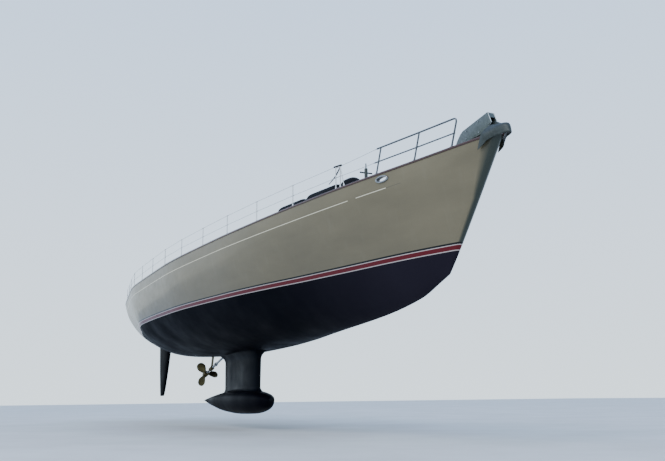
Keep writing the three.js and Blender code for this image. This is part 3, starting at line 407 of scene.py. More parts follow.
def edge_steps(z0, z1, radius, steps):
    """Inset and height of outlines that round the lower and upper edge of a block."""
    if radius <= 0:
        return [(0, z0), (0, z1)]
    turns = [pi / 2 * k / steps for k in range(steps + 1)]
    low = [(radius * (1 - sin(t)), z0 + radius * (1 - cos(t))) for t in turns]
    high = [(radius * (1 - cos(t)), z1 - radius * (1 - sin(t))) for t in turns]
    return low + high


def rounded_rectangle(x0, x1, y0, y1, radius, z, steps=3):
    """Outline of a rectangle with round corners, anticlockwise."""
    radius = min(radius, (x1 - x0) / 2, (y1 - y0) / 2)
    corners = [(x1 - radius, y1 - radius, 0), (x0 + radius, y1 - radius, 90),
               (x0 + radius, y0 + radius, 180), (x1 - radius, y0 + radius, 270)]
    ring = []
    for cx, cy, start in corners:
        for k in range(steps + 1):
            turn = radians(start + 90 * k / steps)
            ring.append((cx + radius * cos(turn), cy + radius * sin(turn), z))
    return ring


def clean(mesh):
    """Joins points that lie together, drops faces without area and turns all faces outwards."""
    work = bmesh.new()
    work.from_mesh(mesh)
    bmesh.ops.remove_doubles(work, verts=work.verts, dist=1e-5)
    bmesh.ops.dissolve_degenerate(work, dist=1e-6, edges=work.edges)
    bmesh.ops.recalc_face_normals(work, faces=work.faces)
    work.to_mesh(mesh)
    work.free()


def rounded_path(corners, radius, steps=5):
    """A path whose inner corners are replaced by arcs."""
    corners = [Vector(p) for p in corners]
    path = [corners[0]]
    for before, corner, after in zip(corners, corners[1:], corners[2:]):
        reach = min(radius, (corner - before).length * 0.45, (after - corner).length * 0.45)
        start = corner + (before - corner).normalized() * reach
        end = corner + (after - corner).normalized() * reach
        path += bend(start, corner, end, steps)
    return path + [corners[-1]]


def both_sides(make_one):
    """Calls a maker for the port side, +1, and the starboard side, -1."""
    make_one(1, "port")
    make_one(-1, "starboard")


print("shape words ready")
# %% [markdown]
# The lines of the hull
#
# A designer draws a hull as three kinds of lines: the rail seen from above and from the side, the keel line
# seen from the side, and the sections between them. Here each section is a superellipse, whose power says
# how full the bilge is. Short tables give the driving points, and a smooth curve that never overshoots runs
# through them.

# %% Tables of the lines
# x, half breadth at the rail, height of the rail, power of the section
RAIL_LINE = (
    (16.650, 0.030, 2.210, 1.90), (16.600, 0.095, 2.210, 1.90), (16.400, 0.175, 2.201, 1.85),
    (14.390, 0.780, 2.130, 1.70), (12.140, 1.450, 2.050, 1.50), (9.880, 1.990, 1.980, 1.57),
    (7.620, 2.460, 1.910, 1.80), (5.370, 2.820, 1.860, 2.05), (0.860, 3.350, 1.750, 2.28),
    (-3.660, 3.460, 1.690, 2.40), (-8.170, 2.980, 1.700, 1.86), (-10.850, 2.610, 1.715, 1.74),
    (-12.680, 2.220, 1.730, 1.70), (-14.600, 1.810, 1.755, 1.71), (-16.650, 1.400, 1.790, 1.78),
)
# x, height of the bottom on the centre plane
KEEL_LINE = ((14.560, -0.430), (14.130, -0.570), (13.250, -0.830), (11.270, -1.070), (8.000, -1.230),
             (3.000, -1.350), (-1.000, -1.360), (-5.000, -1.230), (-8.000, -1.030), (-11.000, -0.610),
             (-12.500, -0.395), (-14.300, -0.025), (-15.900, 0.345),)
STEM_X, TRANSOM_X = RAIL_LINE[0][0], RAIL_LINE[-1][0]
LENGTH = STEM_X - TRANSOM_X
STEM_RAKE = STEM_X - KEEL_LINE[0][0]
STEM_HEIGHT = RAIL_LINE[0][2] - KEEL_LINE[0][1]
TRANSOM_RAKE = KEEL_LINE[-1][0] - TRANSOM_X
RAKE_ENDS_FORWARD = 6.0
RAKE_STARTS_AFT = -9.0
WIDEST_HALF = 3.46
HULL_NODES = ("hull_bow", "hull_saloon", "hull_cockpit", "hull_stern")
BULWARK_HEIGHT = 0.3          # deck edge below the rail's top
BULWARK_THICK = 0.075
DECK_THICK = 0.025
DECK_CAMBER = 0.09
STRIPE_TOP = 0.206            # upper edge of the stripes at the waterline
STRIPE_LOW = 0.035            # where the bottom paint starts


def curve(rows, column):
    """A smooth curve through rows whose x falls, without overshoot."""
    xs = [row[0] for row in rows]
    ys = [row[column] for row in rows]
    steps = [(ys[i + 1] - ys[i]) / (xs[i + 1] - xs[i]) for i in range(len(xs) - 1)]

    def slope(i):
        if i == 0 or i == len(steps):
            return steps[min(i, len(steps) - 1)]
        if steps[i - 1] * steps[i] <= 0:
            return 0
        return 2 / (1 / steps[i - 1] + 1 / steps[i])

    def value(x):
        i = 0
        while i < len(steps) - 1 and x < xs[i + 1]:
            i += 1
        width = xs[i + 1] - xs[i]
        t = (x - xs[i]) / width
        start = ys[i] + t * t * (3 - 2 * t) * (ys[i + 1] - ys[i])
        return start + width * t * (1 - t) * ((1 - t) * slope(i) - t * slope(i + 1))
    return value


def curves(rows):
    """One curve for each column after the first."""
    return [curve(rows, column) for column in range(1, len(rows[0]))]


rail_half, rail_height, section_power = curves(RAIL_LINE)
keel_height = curve(KEEL_LINE, 1)
print("beam", 2 * max(rail_half(x / 10) for x in range(-160, 160)))

# %% [markdown]
# A section leans
#
# Near the bow a section is not upright: it leans with the stem, and near the stern with the transom. So
# each section knows its place at the rail and at the keel, and every point in between shifts by its share
# of the height.

# %% One section of the hull
class Section:
    """One section, named by its place on the rail."""

    def __init__(self, rail_x):
        forward = max(0, (rail_x - RAKE_ENDS_FORWARD) / (STEM_X - RAKE_ENDS_FORWARD))
        aft = max(0, (RAKE_STARTS_AFT - rail_x) / (RAKE_STARTS_AFT - TRANSOM_X))
        self.rail_x = rail_x
        self.keel_x = rail_x - STEM_RAKE * forward ** 2 + TRANSOM_RAKE * aft ** 2
        self.low = keel_height(self.keel_x)
        self.top = rail_height(rail_x)
        self.half = rail_half(rail_x)
        self.power = section_power(rail_x)
        self.deck_edge = self.top - BULWARK_HEIGHT

    def side(self, z):
        """Point on the port skin at a height."""
        z = max(z, self.low)
        share = (z - self.low) / (self.top - self.low)
        bulge = 1 - max(0, 1 - share) ** self.power
        return Vector((self.keel_x + (self.rail_x - self.keel_x) * share,
                       self.half * bulge ** (1 / self.power), z))


def inside(outer):
    return max(outer - BULWARK_THICK, 0.3 * outer)


def deck_half(section):
    return inside(section.side(section.deck_edge).y)


def deck_height(x, y=0.0):
    """Top of the deck."""
    section = Section(x)
    half = deck_half(section)
    rise = DECK_CAMBER * (half / WIDEST_HALF) ** 2 * (1 - min(abs(y) / half, 1) ** 2)
    return section.deck_edge + DECK_THICK + rise


def on_rail(x, side, inset, lift=0.0):
    """A point above the rail, pushed inboard."""
    return Vector((x, side * (rail_half(x) - inset), rail_height(x) + lift))


def spread(first, last, count, power=1.0):
    return [first + (last - first) * (k / count) ** power for k in range(count + 1)]


print("deck height amidships", round(deck_height(0), 3))

# %% [markdown]
# Topside paint and stripes
#
# The topsides are a warm grey metallic lacquer under clear coat. At the waterline run a dark line, a white
# line, a broad burgundy band and another white line, all level, so the object's own height drives them. The
# thin white cove line follows the rail instead, so it needs a coordinate that says how far below the rail a
# point lies: the mesh carries that in its UV map, x along the boat and the depth below the rail across.

# %% Topside finish
COVE_DEPTH = 0.395
COVE_HALF = 0.008
COVE_FRONT = 12.24
COVE_TAIL = (12.53, 13.51)
COVE_TIP = 13.96              # a thin dark line runs on to here
EDGE = 0.0012                 # softness of a painted edge
# lower and upper edge, colour
STRIPES = ((STRIPE_LOW, 0.055, (186, 172, 166)), (0.055, 0.148, (92, 0, 14)),
           (0.148, 0.166, (190, 174, 168)), (0.166, STRIPE_TOP, (10, 12, 11)))


def topside_finish():
    paint = Finish("topside_lacquer", (108, 98, 76), 0.36, "topside_paint", 0.2, 0.2, 0.08)
    paint.set("Specular IOR Level", 0.2)
    place = paint.place()
    height = paint.axis(place, "Z")
    cloud = paint.noise(paint.place((0.35, 0.35, 1.2)), 1.6, 5.0, 0.55)
    grain = paint.noise(place, 260.0, 2.0, 0.6)
    body = paint.mix(paint.ramp(cloud, 0.3, 0.7), (103, 94, 73), (114, 104, 81))
    body = paint.mix(paint.ramp(grain, 0.35, 0.65, 0.0, 0.2), body, (136, 127, 107))
    film = paint.noise(paint.place((1.0, 1.0, 0.12)), 5.0, 5.0, 0.6)
    body = paint.mix(paint.ramp(film, 0.55, 0.8, 0.0, 0.1), body, (144, 136, 118))
    along, depth = paint.uv("X"), paint.uv("Y")
    # A dark green-grey band down the stem's rounded front is painted shade, widest under the rail, narrower
    # below.
    stem = paint.math("MULTIPLY_ADD", depth, STEM_RAKE / STEM_HEIGHT, along)
    width = paint.math("MAXIMUM", paint.math("MULTIPLY_ADD", depth, -0.26, 0.36), 0.05)
    near = paint.math("DIVIDE", paint.math("SUBTRACT", STEM_X, stem), width)
    body = paint.mix(paint.ramp(near, 0.2, 1.0, 0.9, 0.0), body, (40, 50, 46))
    cove = paint.between(depth, COVE_DEPTH - COVE_HALF, COVE_DEPTH + COVE_HALF, EDGE)
    long_part = paint.ramp(along, COVE_FRONT - 0.004, COVE_FRONT + 0.004, 1.0, 0.0)
    short_part = paint.between(along, *COVE_TAIL, 0.004)
    cove = paint.math("MULTIPLY", cove, paint.math("MAXIMUM", long_part, short_part))
    body = paint.mix(cove, body, (226, 215, 186))
    tip = paint.math("MULTIPLY", paint.between(depth, COVE_DEPTH - 0.004, COVE_DEPTH + 0.004, EDGE),
                     paint.between(along, COVE_TAIL[1], COVE_TIP, 0.004))
    body = paint.mix(tip, body, (70, 68, 62))
    outside = paint.ramp(depth, -0.6, -0.4)
    for low, high, color in STRIPES:
        band = paint.between(height, low if low > STRIPE_LOW else low - 1, high, EDGE)
        body = paint.mix(paint.math("MULTIPLY", band, outside), body, color)
    paint.set("Base Color", body)
    wear = paint.noise(place, 3.0, 6.0, 0.6)
    paint.set("Roughness", paint.ramp(wear, 0.3, 0.7, 0.28, 0.4))
    paint.bump(paint.noise(paint.place((0.5, 0.5, 1.0)), 2.2, 2.0, 0.4), 0.004, 0.5)
    return paint


topside_paint = topside_finish()
print("stripes from", STRIPE_LOW, "to", STRIPE_TOP)

# %% [markdown]
# Bottom paint
#
# Bottom paint is rolled on, matt and dark navy. It dries chalky, more so in broad vertical runs where water
# drained when the boat was lifted. It is bleached towards the bow, and thinner and greyer on the keel. The
# noises are stretched upright to look like runs, and a fine bump gives the roller's skin.

# %% Bottom finishes
BLEACHED_FROM, BLEACHED_TO, BLEACHED_COLOR = 8.0, 13.0, (34, 30, 39)


def bottom_finish(name, dark, pale, runs, roughness=0.5, shine=0.08, bleached=0.0):
    paint = Finish(name, dark, roughness, "antifouling")
    run = paint.noise(paint.place((1.0, 1.0, 0.10)), 3.2, 6.0, 0.6)
    patch = paint.noise(paint.place(), 0.9, 5.0, 0.6)
    speck = paint.noise(paint.place(), 60.0, 3.0, 0.6)
    body = paint.mix(paint.ramp(run, 0.38, 0.72, 0.0, runs), dark, pale)
    body = paint.mix(paint.ramp(patch, 0.45, 0.75, 0.0, 0.35), body, pale)
    forward = paint.ramp(paint.axis(paint.place(), "X"), BLEACHED_FROM, BLEACHED_TO, 0.0, bleached)
    body = paint.mix(forward, body, BLEACHED_COLOR)
    body = paint.mix(paint.ramp(speck, 0.6, 0.75, 0.0, 0.3), body, tuple(c + 8 for c in pale))
    paint.set("Base Color", body)
    paint.set("Roughness", paint.ramp(patch, 0.3, 0.7, roughness - 0.1, roughness + 0.12))
    paint.set("Specular IOR Level", shine)
    paint.bump(paint.noise(paint.place(), 90.0, 3.0, 0.6), 0.0008, 0.6)
    return paint


bottom_paint = bottom_finish("bottom_paint", (2, 2, 9), (5, 7, 14), 0.5, 0.55, 0.03, 0.85)
keel_paint = bottom_finish("keel_paint", (4, 6, 12), (10, 15, 22), 0.8, 0.5, 0.04)
bulb_paint = bottom_finish("bulb_paint", (2, 2, 8), (6, 7, 15), 0.5, 0.5, 0.04)
rudder_paint = bottom_finish("rudder_paint", (1, 2, 4), (4, 6, 9), 0.6, 0.6, 0.02)
print("four bottom paints")

# %% [markdown]
# The skin of the hull
#
# The skin is one loop per level: from the stem along the port side to the transom and back on the starboard
# side. Levels stack from the stripes' lower edge up to the rail and go down again inside the bulwark. The
# two oval holes for mooring lines are left open on each side, and a steel ring covers their edges.

# %% Topsides and bulwark
CAP_THICK = 0.05
HAWSE_PLACES = (13.455, -15.0)
HAWSE_LONG, HAWSE_HIGH, HAWSE_BELOW = 0.160, 0.055, 0.168
STATIONS = 170


def stations(first=STEM_X, last=TRANSOM_X):
    """Places along the rail, closer at the stem and at the mooring holes."""
    xs = {first, last, STEM_X - 0.012, STEM_X - 0.03, STEM_X - 0.06, STEM_X - 0.1, STEM_X - 0.16}
    xs.update(STEM_X - LENGTH * k / STATIONS for k in range(STATIONS + 1))
    for place in HAWSE_PLACES:
        xs.update(place + 0.02 * k for k in range(-9, 10))
    return sorted((x for x in xs if last - 1e-6 <= x <= first + 1e-6), reverse=True)


def in_hawse(point):
    for x in HAWSE_PLACES:
        across = (point.x - x) / HAWSE_LONG
        up = (point.z - rail_height(x) + HAWSE_BELOW) / HAWSE_HIGH
        if across ** 2 + up ** 2 < 1:
            return True
    return False


def ring_at(level_point, t, xs):
    """One closed loop round the boat; level_point gives the port side's point of a section for t."""
    port = [level_point(Section(x), t) for x in xs]
    return port + mirrored(port)


def inner_point(section, z):
    """Point on the bulwark's inner face at a height."""
    x = min(max(section.rail_x, TRANSOM_X + BULWARK_THICK), STEM_X - 0.007 * LENGTH)
    here = Section(x)
    point = here.side(z)
    return Vector((point.x, inside(max(point.y, here.side(here.deck_edge).y)), z))


def make_topsides():
    xs = stations()

    def outside(section, t):
        return section.side(max(STRIPE_LOW, section.low) * (1 - t) + (section.top - CAP_THICK) * t)

    def within(section, t):
        return inner_point(section, section.top - CAP_THICK - t * (BULWARK_HEIGHT - CAP_THICK))

    outer_rows = [ring_at(outside, t, xs) for t in spread(0, 0.8, 26) + spread(0.815, 1, 26)]
    inner_rows = [ring_at(within, t, xs) for t in spread(0, 1, 16)]
    shape = Shape()
    count = len(outer_rows)
    rails = [rail_height(x) for x in xs + xs[::-1]]

    def uv(r, i, point):
        return (point[0], rails[i] - point[2] if r < count else -1)

    shape.rows(outer_rows + inner_rows, across=True, uv=uv)
    kept = []
    for face in shape.faces:
        centre = sum((Vector(shape.points[k]) for k in face), Vector()) / len(face)
        if not in_hawse(centre):
            kept.append(face)
    shape.faces = kept
    return shape.make("hull_topsides", topside_paint, *HULL_NODES, "bulwark", smooth=50)


def make_bottom():
    def below(section, t):
        return section.side(section.low + (max(STRIPE_LOW, section.low) - section.low) * t)

    xs = stations()
    rows = [ring_at(below, t, xs) for t in spread(0, 1, 44, 2.0)]
    return Shape().rows(rows, across=True).make("hull_bottom", bottom_paint, *HULL_NODES, smooth=60)


topsides = make_topsides()
bottom = make_bottom()
print("topsides", len(topsides.data.polygons), "faces; bottom", len(bottom.data.polygons))

# %% [markdown]
# Steel, bronze and varnish
#
# Metal reads as metal by its reflections, so its colour is plain and its roughness varies a little, in
# faint water spots. Varnished wood is a dark base with streaks along the grain under a smooth coat.

# %% Metal and varnish finishes
def metal_finish(name, color, roughness, spots=0.1, metallic=1.0, slot="steel"):
    metal = Finish(name, color, roughness, slot, metallic)
    cloud = metal.noise(metal.place(), 14.0, 5.0, 0.6)
    shade = tuple(max(0, c - 26) for c in color)
    metal.set("Base Color", metal.mix(metal.ramp(cloud, 0.4, 0.7, 0.0, 0.6), color, shade))
    line = metal.noise(metal.place(), 60.0, 2.0, 0.5)
    metal.set("Roughness", metal.ramp(line, 0.35, 0.65, max(0.02, roughness - spots), roughness + spots))
    metal.bump(line, 0.0002, 0.4)
    return metal


def varnish_finish(name, body, dark, light, coat=0.9):
    wood = Finish(name, body, 0.3, "varnish", coat=coat, coat_roughness=0.06)
    grain = wood.noise(wood.place((0.6, 14.0, 14.0)), 7.0, 6.0, 0.65)
    tone = wood.noise(wood.place((0.3, 1.0, 1.0)), 0.8, 2.0, 0.5)
    body = wood.mix(wood.ramp(grain, 0.35, 0.65), dark, light)
    wood.set("Base Color", wood.mix(wood.ramp(tone, 0.4, 0.6, 0.0, 0.4), body, dark))
    wood.bump(grain, 0.0004, 0.5)
    return wood


steel = metal_finish("polished_steel", (188, 190, 192), 0.16, 0.06)
dull_steel = metal_finish("dull_steel", (150, 152, 154), 0.32, 0.1)
bronze = metal_finish("bronze", (92, 84, 58), 0.5, 0.12, slot="bronze")
bow_metal = metal_finish("bow_fitting", (80, 87, 82), 0.4, 0.1, 0.5, "grey_metal")
varnish = varnish_finish("varnish", (58, 16, 12), (40, 10, 8), (72, 24, 17), 0.5)
print("metals and varnish ready")

# %% [markdown]
# Rings of the mooring holes
#
# A steel casting lines each mooring hole, so that a rope runs over a round lip and not over the bulwark's
# edge. Its profile is a row of outlines, each a little larger or smaller than the hole and pushed out from
# the skin.

# %% Rings of the mooring holes
# size against the hole's, distance out from the skin
HAWSE_LIPS = ((1.3, 0.003), (1.27, 0.012), (1.13, 0.018), (0.98, 0.014), (0.92, 0.0), (0.92, -BULWARK_THICK),
              (0.98, -BULWARK_THICK - 0.014), (1.1, -BULWARK_THICK - 0.018), (1.2, -BULWARK_THICK - 0.012),
              (1.22, -BULWARK_THICK - 0.004))
LIP_GROWTH = 0.1


def make_hawse_rings():
    shape = Shape()
    for x in HAWSE_PLACES:
        z = rail_height(x) - HAWSE_BELOW
        for side in (1, -1):
            rings = []
            for scale, out in HAWSE_LIPS:
                ring = []
                grow = LIP_GROWTH * (scale - 1)
                for turn in circle(40):
                    px = x + (HAWSE_LONG + grow) * cos(turn)
                    pz = z + (HAWSE_HIGH + grow) * sin(turn)
                    skin = Section(px).side(pz).y
                    ring.append((px, side * (skin + out), pz))
                rings.append(ring)
            shape.rows(rings, across=True, along=True)
    return shape.make("hawse_rings", dull_steel)


make_hawse_rings()
print("mooring holes at", HAWSE_PLACES)

# %% [markdown]
# The cap rail
#
# A varnished hardwood rail closes the top of the bulwark. It reads as one board all round with eased edges,
# so the profile is a rectangle with round corners, carried along the rail line.

# %% Cap rail
CAP_OVERHANG, CAP_INSET = 0.022, 0.105
DECK_STARTS = 0.02 * LENGTH


def cap_corners(x):
    """Outer lower, outer upper, inner upper, inner lower corner on the port side."""
    section = Section(x)
    nose = min(1, (STEM_X - x) / DECK_STARTS)
    ahead = CAP_OVERHANG * max(0, 1 - (STEM_X - x) / 0.06)
    start = Section(STEM_X - DECK_STARTS)
    corners = []
    for across, drop in ((0, CAP_THICK), (0, 0), (1, 0), (1, CAP_THICK)):
        point = section.side(section.top - drop)
        if not across:
            corners.append(Vector((point.x + ahead, point.y + CAP_OVERHANG, section.top - drop)))
        elif nose < 1:
            inner_x = start.side(start.top).x + 0.03 * (1 - nose)
            inner_y = (start.half - CAP_INSET) * nose + 0.004
            corners.append(Vector((inner_x, inner_y, section.top - drop)))
        else:
            back = max(0, TRANSOM_X + CAP_INSET - point.x)
            corners.append(Vector((point.x + back, point.y - CAP_INSET, rail_height(point.x + back) - drop)))
    return corners


def eased_profile(corners, radius=0.014, steps=3):
    """Four corners with each one rounded off."""
    ring = []
    for k, corner in enumerate(corners):
        before = corner - corners[k - 1]
        after = corners[(k + 1) % 4] - corner
        start = corner - before * min(0.45, radius / max(before.length, 1e-6))
        end = corner + after * min(0.45, radius / max(after.length, 1e-6))
        ring += bend(start, corner, end, steps)
    return ring


def make_cap_rail():
    port = [eased_profile(cap_corners(x)) for x in stations()]
    starboard = [mirrored(ring)[::-1] for ring in reversed(port)]
    shape = Shape().rows(port + starboard, across=True, along=True)
    return shape.make("cap_rail_fine", varnish, "cap_rail", smooth=50)


cap_rail = make_cap_rail()
print("cap rail", len(cap_rail.data.polygons), "faces")

# %% [markdown]
# Keel, bulb and rudder
#
# A keel's fin and a rudder are wings: a symmetric foil at each height, thick near the front. The fin swells
# into a small fillet where it meets the hull and the bulb. The bulb is a torpedo, a little flat underneath,
# whose widest line shows as an edge between lit and dark paint.

# %% Foil sections
def foil(front, back, thick, z, grow=0.0, points=28):
    """One foil section; grow pushes its outline outwards by a fillet."""
    chord = front - back
    side = []
    for k in range(points + 1):
        share = (1 - cos(pi * k / points)) / 2
        bulge = 2.6 * (sqrt(share) - share) + 0.35 * share * (1 - share)
        x = front - chord * share + grow * (1 - 2 * share)
        side.append(Vector((x, max(0.004, thick * bulge * 0.66) + grow, z)))
    return side + mirrored(side)


FIN_FRONT, FIN_BACK, FIN_THICK, FIN_FOOT, FIN_TAPER = 2.1, -2.1, 0.46, -2.8, 0.96
FIN_TOP = -1.33
ROOT_FILLET, FOOT_FILLET = 0.36, 0.14


def fillet(distance, radius):
    """How far a fillet has spread at a distance from the surface it meets."""
    if distance >= radius:
        return 0.0
    return radius - sqrt(max(0.0, radius ** 2 - (radius - max(distance, 0)) ** 2))


# x, half breadth, top, bottom
BULB = ((3.12, 0.06, -3.09, -3.19), (2.97, 0.24, -2.97, -3.36), (2.55, 0.40, -2.86, -3.50),
        (1.60, 0.55, -2.77, -3.60), (0.30, 0.61, -2.74, -3.62), (-1.20, 0.57, -2.78, -3.56),
        (-2.70, 0.46, -2.90, -3.40), (-3.80, 0.33, -3.02, -3.23), (-4.30, 0.24, -3.07, -3.13))
BULB_MIDDLE = -3.11
BULB_CREST = max(row[2] for row in BULB)
BULB_SQUARE = 0.85            # below 1 the bulb's sides are fuller than an ellipse
NOSE_LENGTH = 0.15
bulb_half, bulb_crest, bulb_low = curves(BULB)


def bulb_top(x, y):
    """Height of the bulb's upper face."""
    x = min(max(x, BULB[-1][0]), BULB[0][0])
    share = min(1, abs(y) / bulb_half(x)) ** (2 / BULB_SQUARE)
    return BULB_MIDDLE + (bulb_crest(x) - BULB_MIDDLE) * sqrt(1 - share)


def make_fin():
    heights = spread(FIN_TOP, FIN_TOP - 0.4, 14) + spread(FIN_TOP - 0.5, FIN_FOOT + 0.3, 10)
    heights += spread(FIN_FOOT + 0.2, FIN_FOOT - 0.15, 10)
    rings = []
    for z in heights:
        scale = 1 + (FIN_TAPER - 1) * (z + 1.0) / (FIN_FOOT + 0.8)
        grow = fillet(FIN_TOP + 0.03 - z, ROOT_FILLET) + fillet(z - FIN_FOOT - 0.03, FOOT_FILLET)
        ring = foil(FIN_FRONT * scale, FIN_BACK * scale, FIN_THICK * scale, z, grow)
        settle = min(1, max(0, (FIN_FOOT + 0.22 - z) / 0.2))
        rings.append([p + Vector((0, 0, (bulb_top(p.x, p.y) - BULB_CREST) * settle)) for p in ring])
    return Shape().skin(rings).make("fin", keel_paint, "keel_fin", smooth=60)


def make_bulb():
    tip, tail = BULB[0][0], BULB[-1][0]
    xs = [tip - NOSE_LENGTH * (1 - cos(pi / 2 * k / 8)) for k in range(9)]
    xs += spread(tip - 2 * NOSE_LENGTH, tail, 70)
    rings = []
    for x in xs:
        ring = []
        nose = min(1, sqrt(max(0.02, (tip - x) / NOSE_LENGTH)))
        for turn in circle(64):
            reach = bulb_crest(x) - BULB_MIDDLE if sin(turn) > 0 else BULB_MIDDLE - bulb_low(x)
            square = copysign(abs(cos(turn)) ** BULB_SQUARE, cos(turn))
            ring.append((x, bulb_half(x) * square * nose, BULB_MIDDLE + reach * sin(turn) * nose))
        rings.append(ring)
    return Shape().skin(rings).make("bulb", bulb_paint, "keel_bulb", smooth=60)


# height, front, back, thickness
BLADE = ((-2.870, -13.160, -13.960, 0.090), (-2.700, -13.020, -14.020, 0.130),
         (-1.650, -12.480, -14.250, 0.210), (-0.560, -12.060, -14.480, 0.280))
# the blade's head climbs forward, and this much of its height takes the climb up
BLADE_SLOPE, BLADE_HEAD = 0.14, 0.9


def make_rudder():
    rows = sorted(BLADE, reverse=True)
    front, back, thick = curves(rows)
    top, tip = rows[0][0], rows[-1][0]
    rings = []
    for z in spread(top, tip + 0.02, 40):
        ring = foil(front(z), back(z), thick(z), z)
        climb = BLADE_SLOPE * max(0, (z - top + BLADE_HEAD) / BLADE_HEAD)
        rings.append([Vector((p.x, p.y, p.z + climb * (front(z) - p.x))) for p in ring])
    last = foil(front(tip) - 0.02, back(tip) + 0.02, thick(tip), tip)
    rings.append([Vector((p.x, p.y * 0.45, tip)) for p in last])
    shape = Shape().skin(rings)
    return shape.make("rudder_fine", rudder_paint, "rudder_blade", body="rudder", smooth=60)


make_fin()
make_bulb()
make_rudder()
print("keel reaches", BULB_MIDDLE, "at its widest")

# %% [markdown]
# Propeller and shaft
#
# A three-bladed propeller twists from a coarse pitch at the hub to a fine one at the tip, and each blade is
# a thin lens. It sits on a shaft that leaves the hull behind the keel, carried by one strut. A zinc collar
# on the shaft wears away instead of the bronze.

# %% Propeller, shaft and strut
SHAFT_START = Vector((-2.25, 0, -1.345))
SHAFT_SLOPE, SHAFT_RADIUS, SHAFT_FRONT, ZINC_X = 0.23, 0.045, -1.9, -3.45
SHAFT_LINE = Vector((1, 0, SHAFT_SLOPE)).normalized()
PROPELLER_X, PROPELLER_RADIUS, HUB_LENGTH = -5.0, 0.57, 0.42
# share of the radius, width, twist from the disc in degrees, rake aft
BLADE_SHAPE = ((1.0, 0.05, 18, 0.05), (0.97, 0.16, 18.5, 0.045), (0.9, 0.27, 20, 0.04),
               (0.75, 0.36, 24, 0.03), (0.6, 0.385, 28, 0.02), (0.35, 0.30, 40, 0.01), (0.2, 0.20, 50, 0.0),
               (0.12, 0.15, 55, 0.0))
BLADE_SHARES = (1.0, 0.99, 0.975, 0.95, 0.92, 0.88, 0.82, 0.75, 0.65, 0.55, 0.45, 0.35, 0.25, 0.18, 0.12)
STRUT_X, STRUT_RADIUS, STRUT_LENGTH = -4.1, 0.092, 0.34
STRUT_HEIGHT, STRUT_LEAN, STRUT_CHORD_HALF, STRUT_THICK, STRUT_FILLET = 0.72, 0.257, 0.15, 0.06, 0.1


def on_shaft(x):
    return Vector((x, 0, SHAFT_START.z + SHAFT_SLOPE * (x - SHAFT_START.x)))


def blade_rings(turn):
    """Outlines of one blade from tip to hub, turned about the shaft."""
    width, twist, rake = curves(BLADE_SHAPE)
    rings = []
    for share in BLADE_SHARES:
        angle = radians(twist(share))
        ring = []
        for spot in circle(24):
            along = width(share) / 2 * cos(spot)
            thick = (0.024 - 0.019 * share) * sin(spot) * (1 + 0.3 * cos(spot))
            x = along * sin(angle) + thick * cos(angle) - rake(share)
            y = along * cos(angle) - thick * sin(angle)
            z = PROPELLER_RADIUS * share
            ring.append((x, y * cos(turn) - z * sin(turn), y * sin(turn) + z * cos(turn)))
        rings.append(ring)
    return rings


def on_propeller(point):
    """From the propeller's own axes, X along the shaft, to the boat's."""
    x, y, z = point
    up = Vector((-SHAFT_LINE.z, 0, SHAFT_LINE.x))
    return on_shaft(PROPELLER_X) + SHAFT_LINE * x + Vector((0, 1, 0)) * y + up * z


def make_propeller():
    shape = Shape()
    for turn in circle(3):
        shape.skin([[on_propeller(p) for p in ring] for ring in blade_rings(turn + pi / 6)])
    half = HUB_LENGTH / 2
    profile = [(0.006, -half - 0.13), (0.03, -half - 0.128), (0.06, -half - 0.09), (0.088, -half - 0.03),
               (0.092, -half), (0.1, -half + 0.006), (0.118, -half + 0.06), (0.122, 0),
               (0.118, half - 0.06), (0.1, half - 0.01), (0.09, half), (0.02, half)]
    shape.turned(profile, on_shaft(PROPELLER_X), 40, SHAFT_LINE)
    return shape.make("propeller_fine", bronze, "propeller", body="screw", smooth=35)


def make_shaft():
    shape = Shape().tube([on_shaft(PROPELLER_X + HUB_LENGTH / 2), on_shaft(SHAFT_FRONT)], SHAFT_RADIUS, 24)
    profile = mm((47, -90), (70, -85), (78, -50), (78, 50), (70, 85), (47, 90))
    shape.turned(profile, on_shaft(ZINC_X), 24, SHAFT_LINE)
    return shape.make("shaft_fine", dull_steel, "propeller_shaft", body="screw", smooth=35)


def make_strut():
    axle = on_shaft(STRUT_X)
    rings = []
    for t in spread(0, 1, 12):
        grow = fillet(STRUT_HEIGHT * (1 - t) - STRUT_FILLET, STRUT_FILLET)
        x, z = STRUT_X + STRUT_LEAN * t, axle.z + STRUT_HEIGHT * t
        rings.append(foil(x + STRUT_CHORD_HALF, x - STRUT_CHORD_HALF, STRUT_THICK, z, grow, 14))
    shape = Shape().skin(rings)
    end, r = STRUT_LENGTH / 2, STRUT_RADIUS
    profile = [(0.05, -end), (r - 0.01, -end), (r, -end + 0.02), (r, end - 0.02), (r - 0.01, end),
               (0.05, end)]
    shape.turned(profile, axle, 32, SHAFT_LINE)
    return shape.make("strut_fine", bronze, "shaft_bracket", smooth=35)


make_propeller()
make_shaft()
make_strut()
print("propeller at", [round(v, 3) for v in on_shaft(PROPELLER_X)])

# %% [markdown]
# The laid deck
#
# A teak deck is laid in narrow planks that bend with the deck's edge, and their ends are cut into a wider
# plank on the centre line. Black rubber fills the seams. The mesh carries two lengths in its UV map: the
# distance along the boat and the distance in from the deck's edge. Lines drawn at equal steps of the second
# one then bend by themselves.

# %% Teak finish
PLANK_WIDTH = 0.058
SEAM_WIDTH = 0.006
KING_PLANK_HALF = 0.13
COVERING_BOARD = 0.16


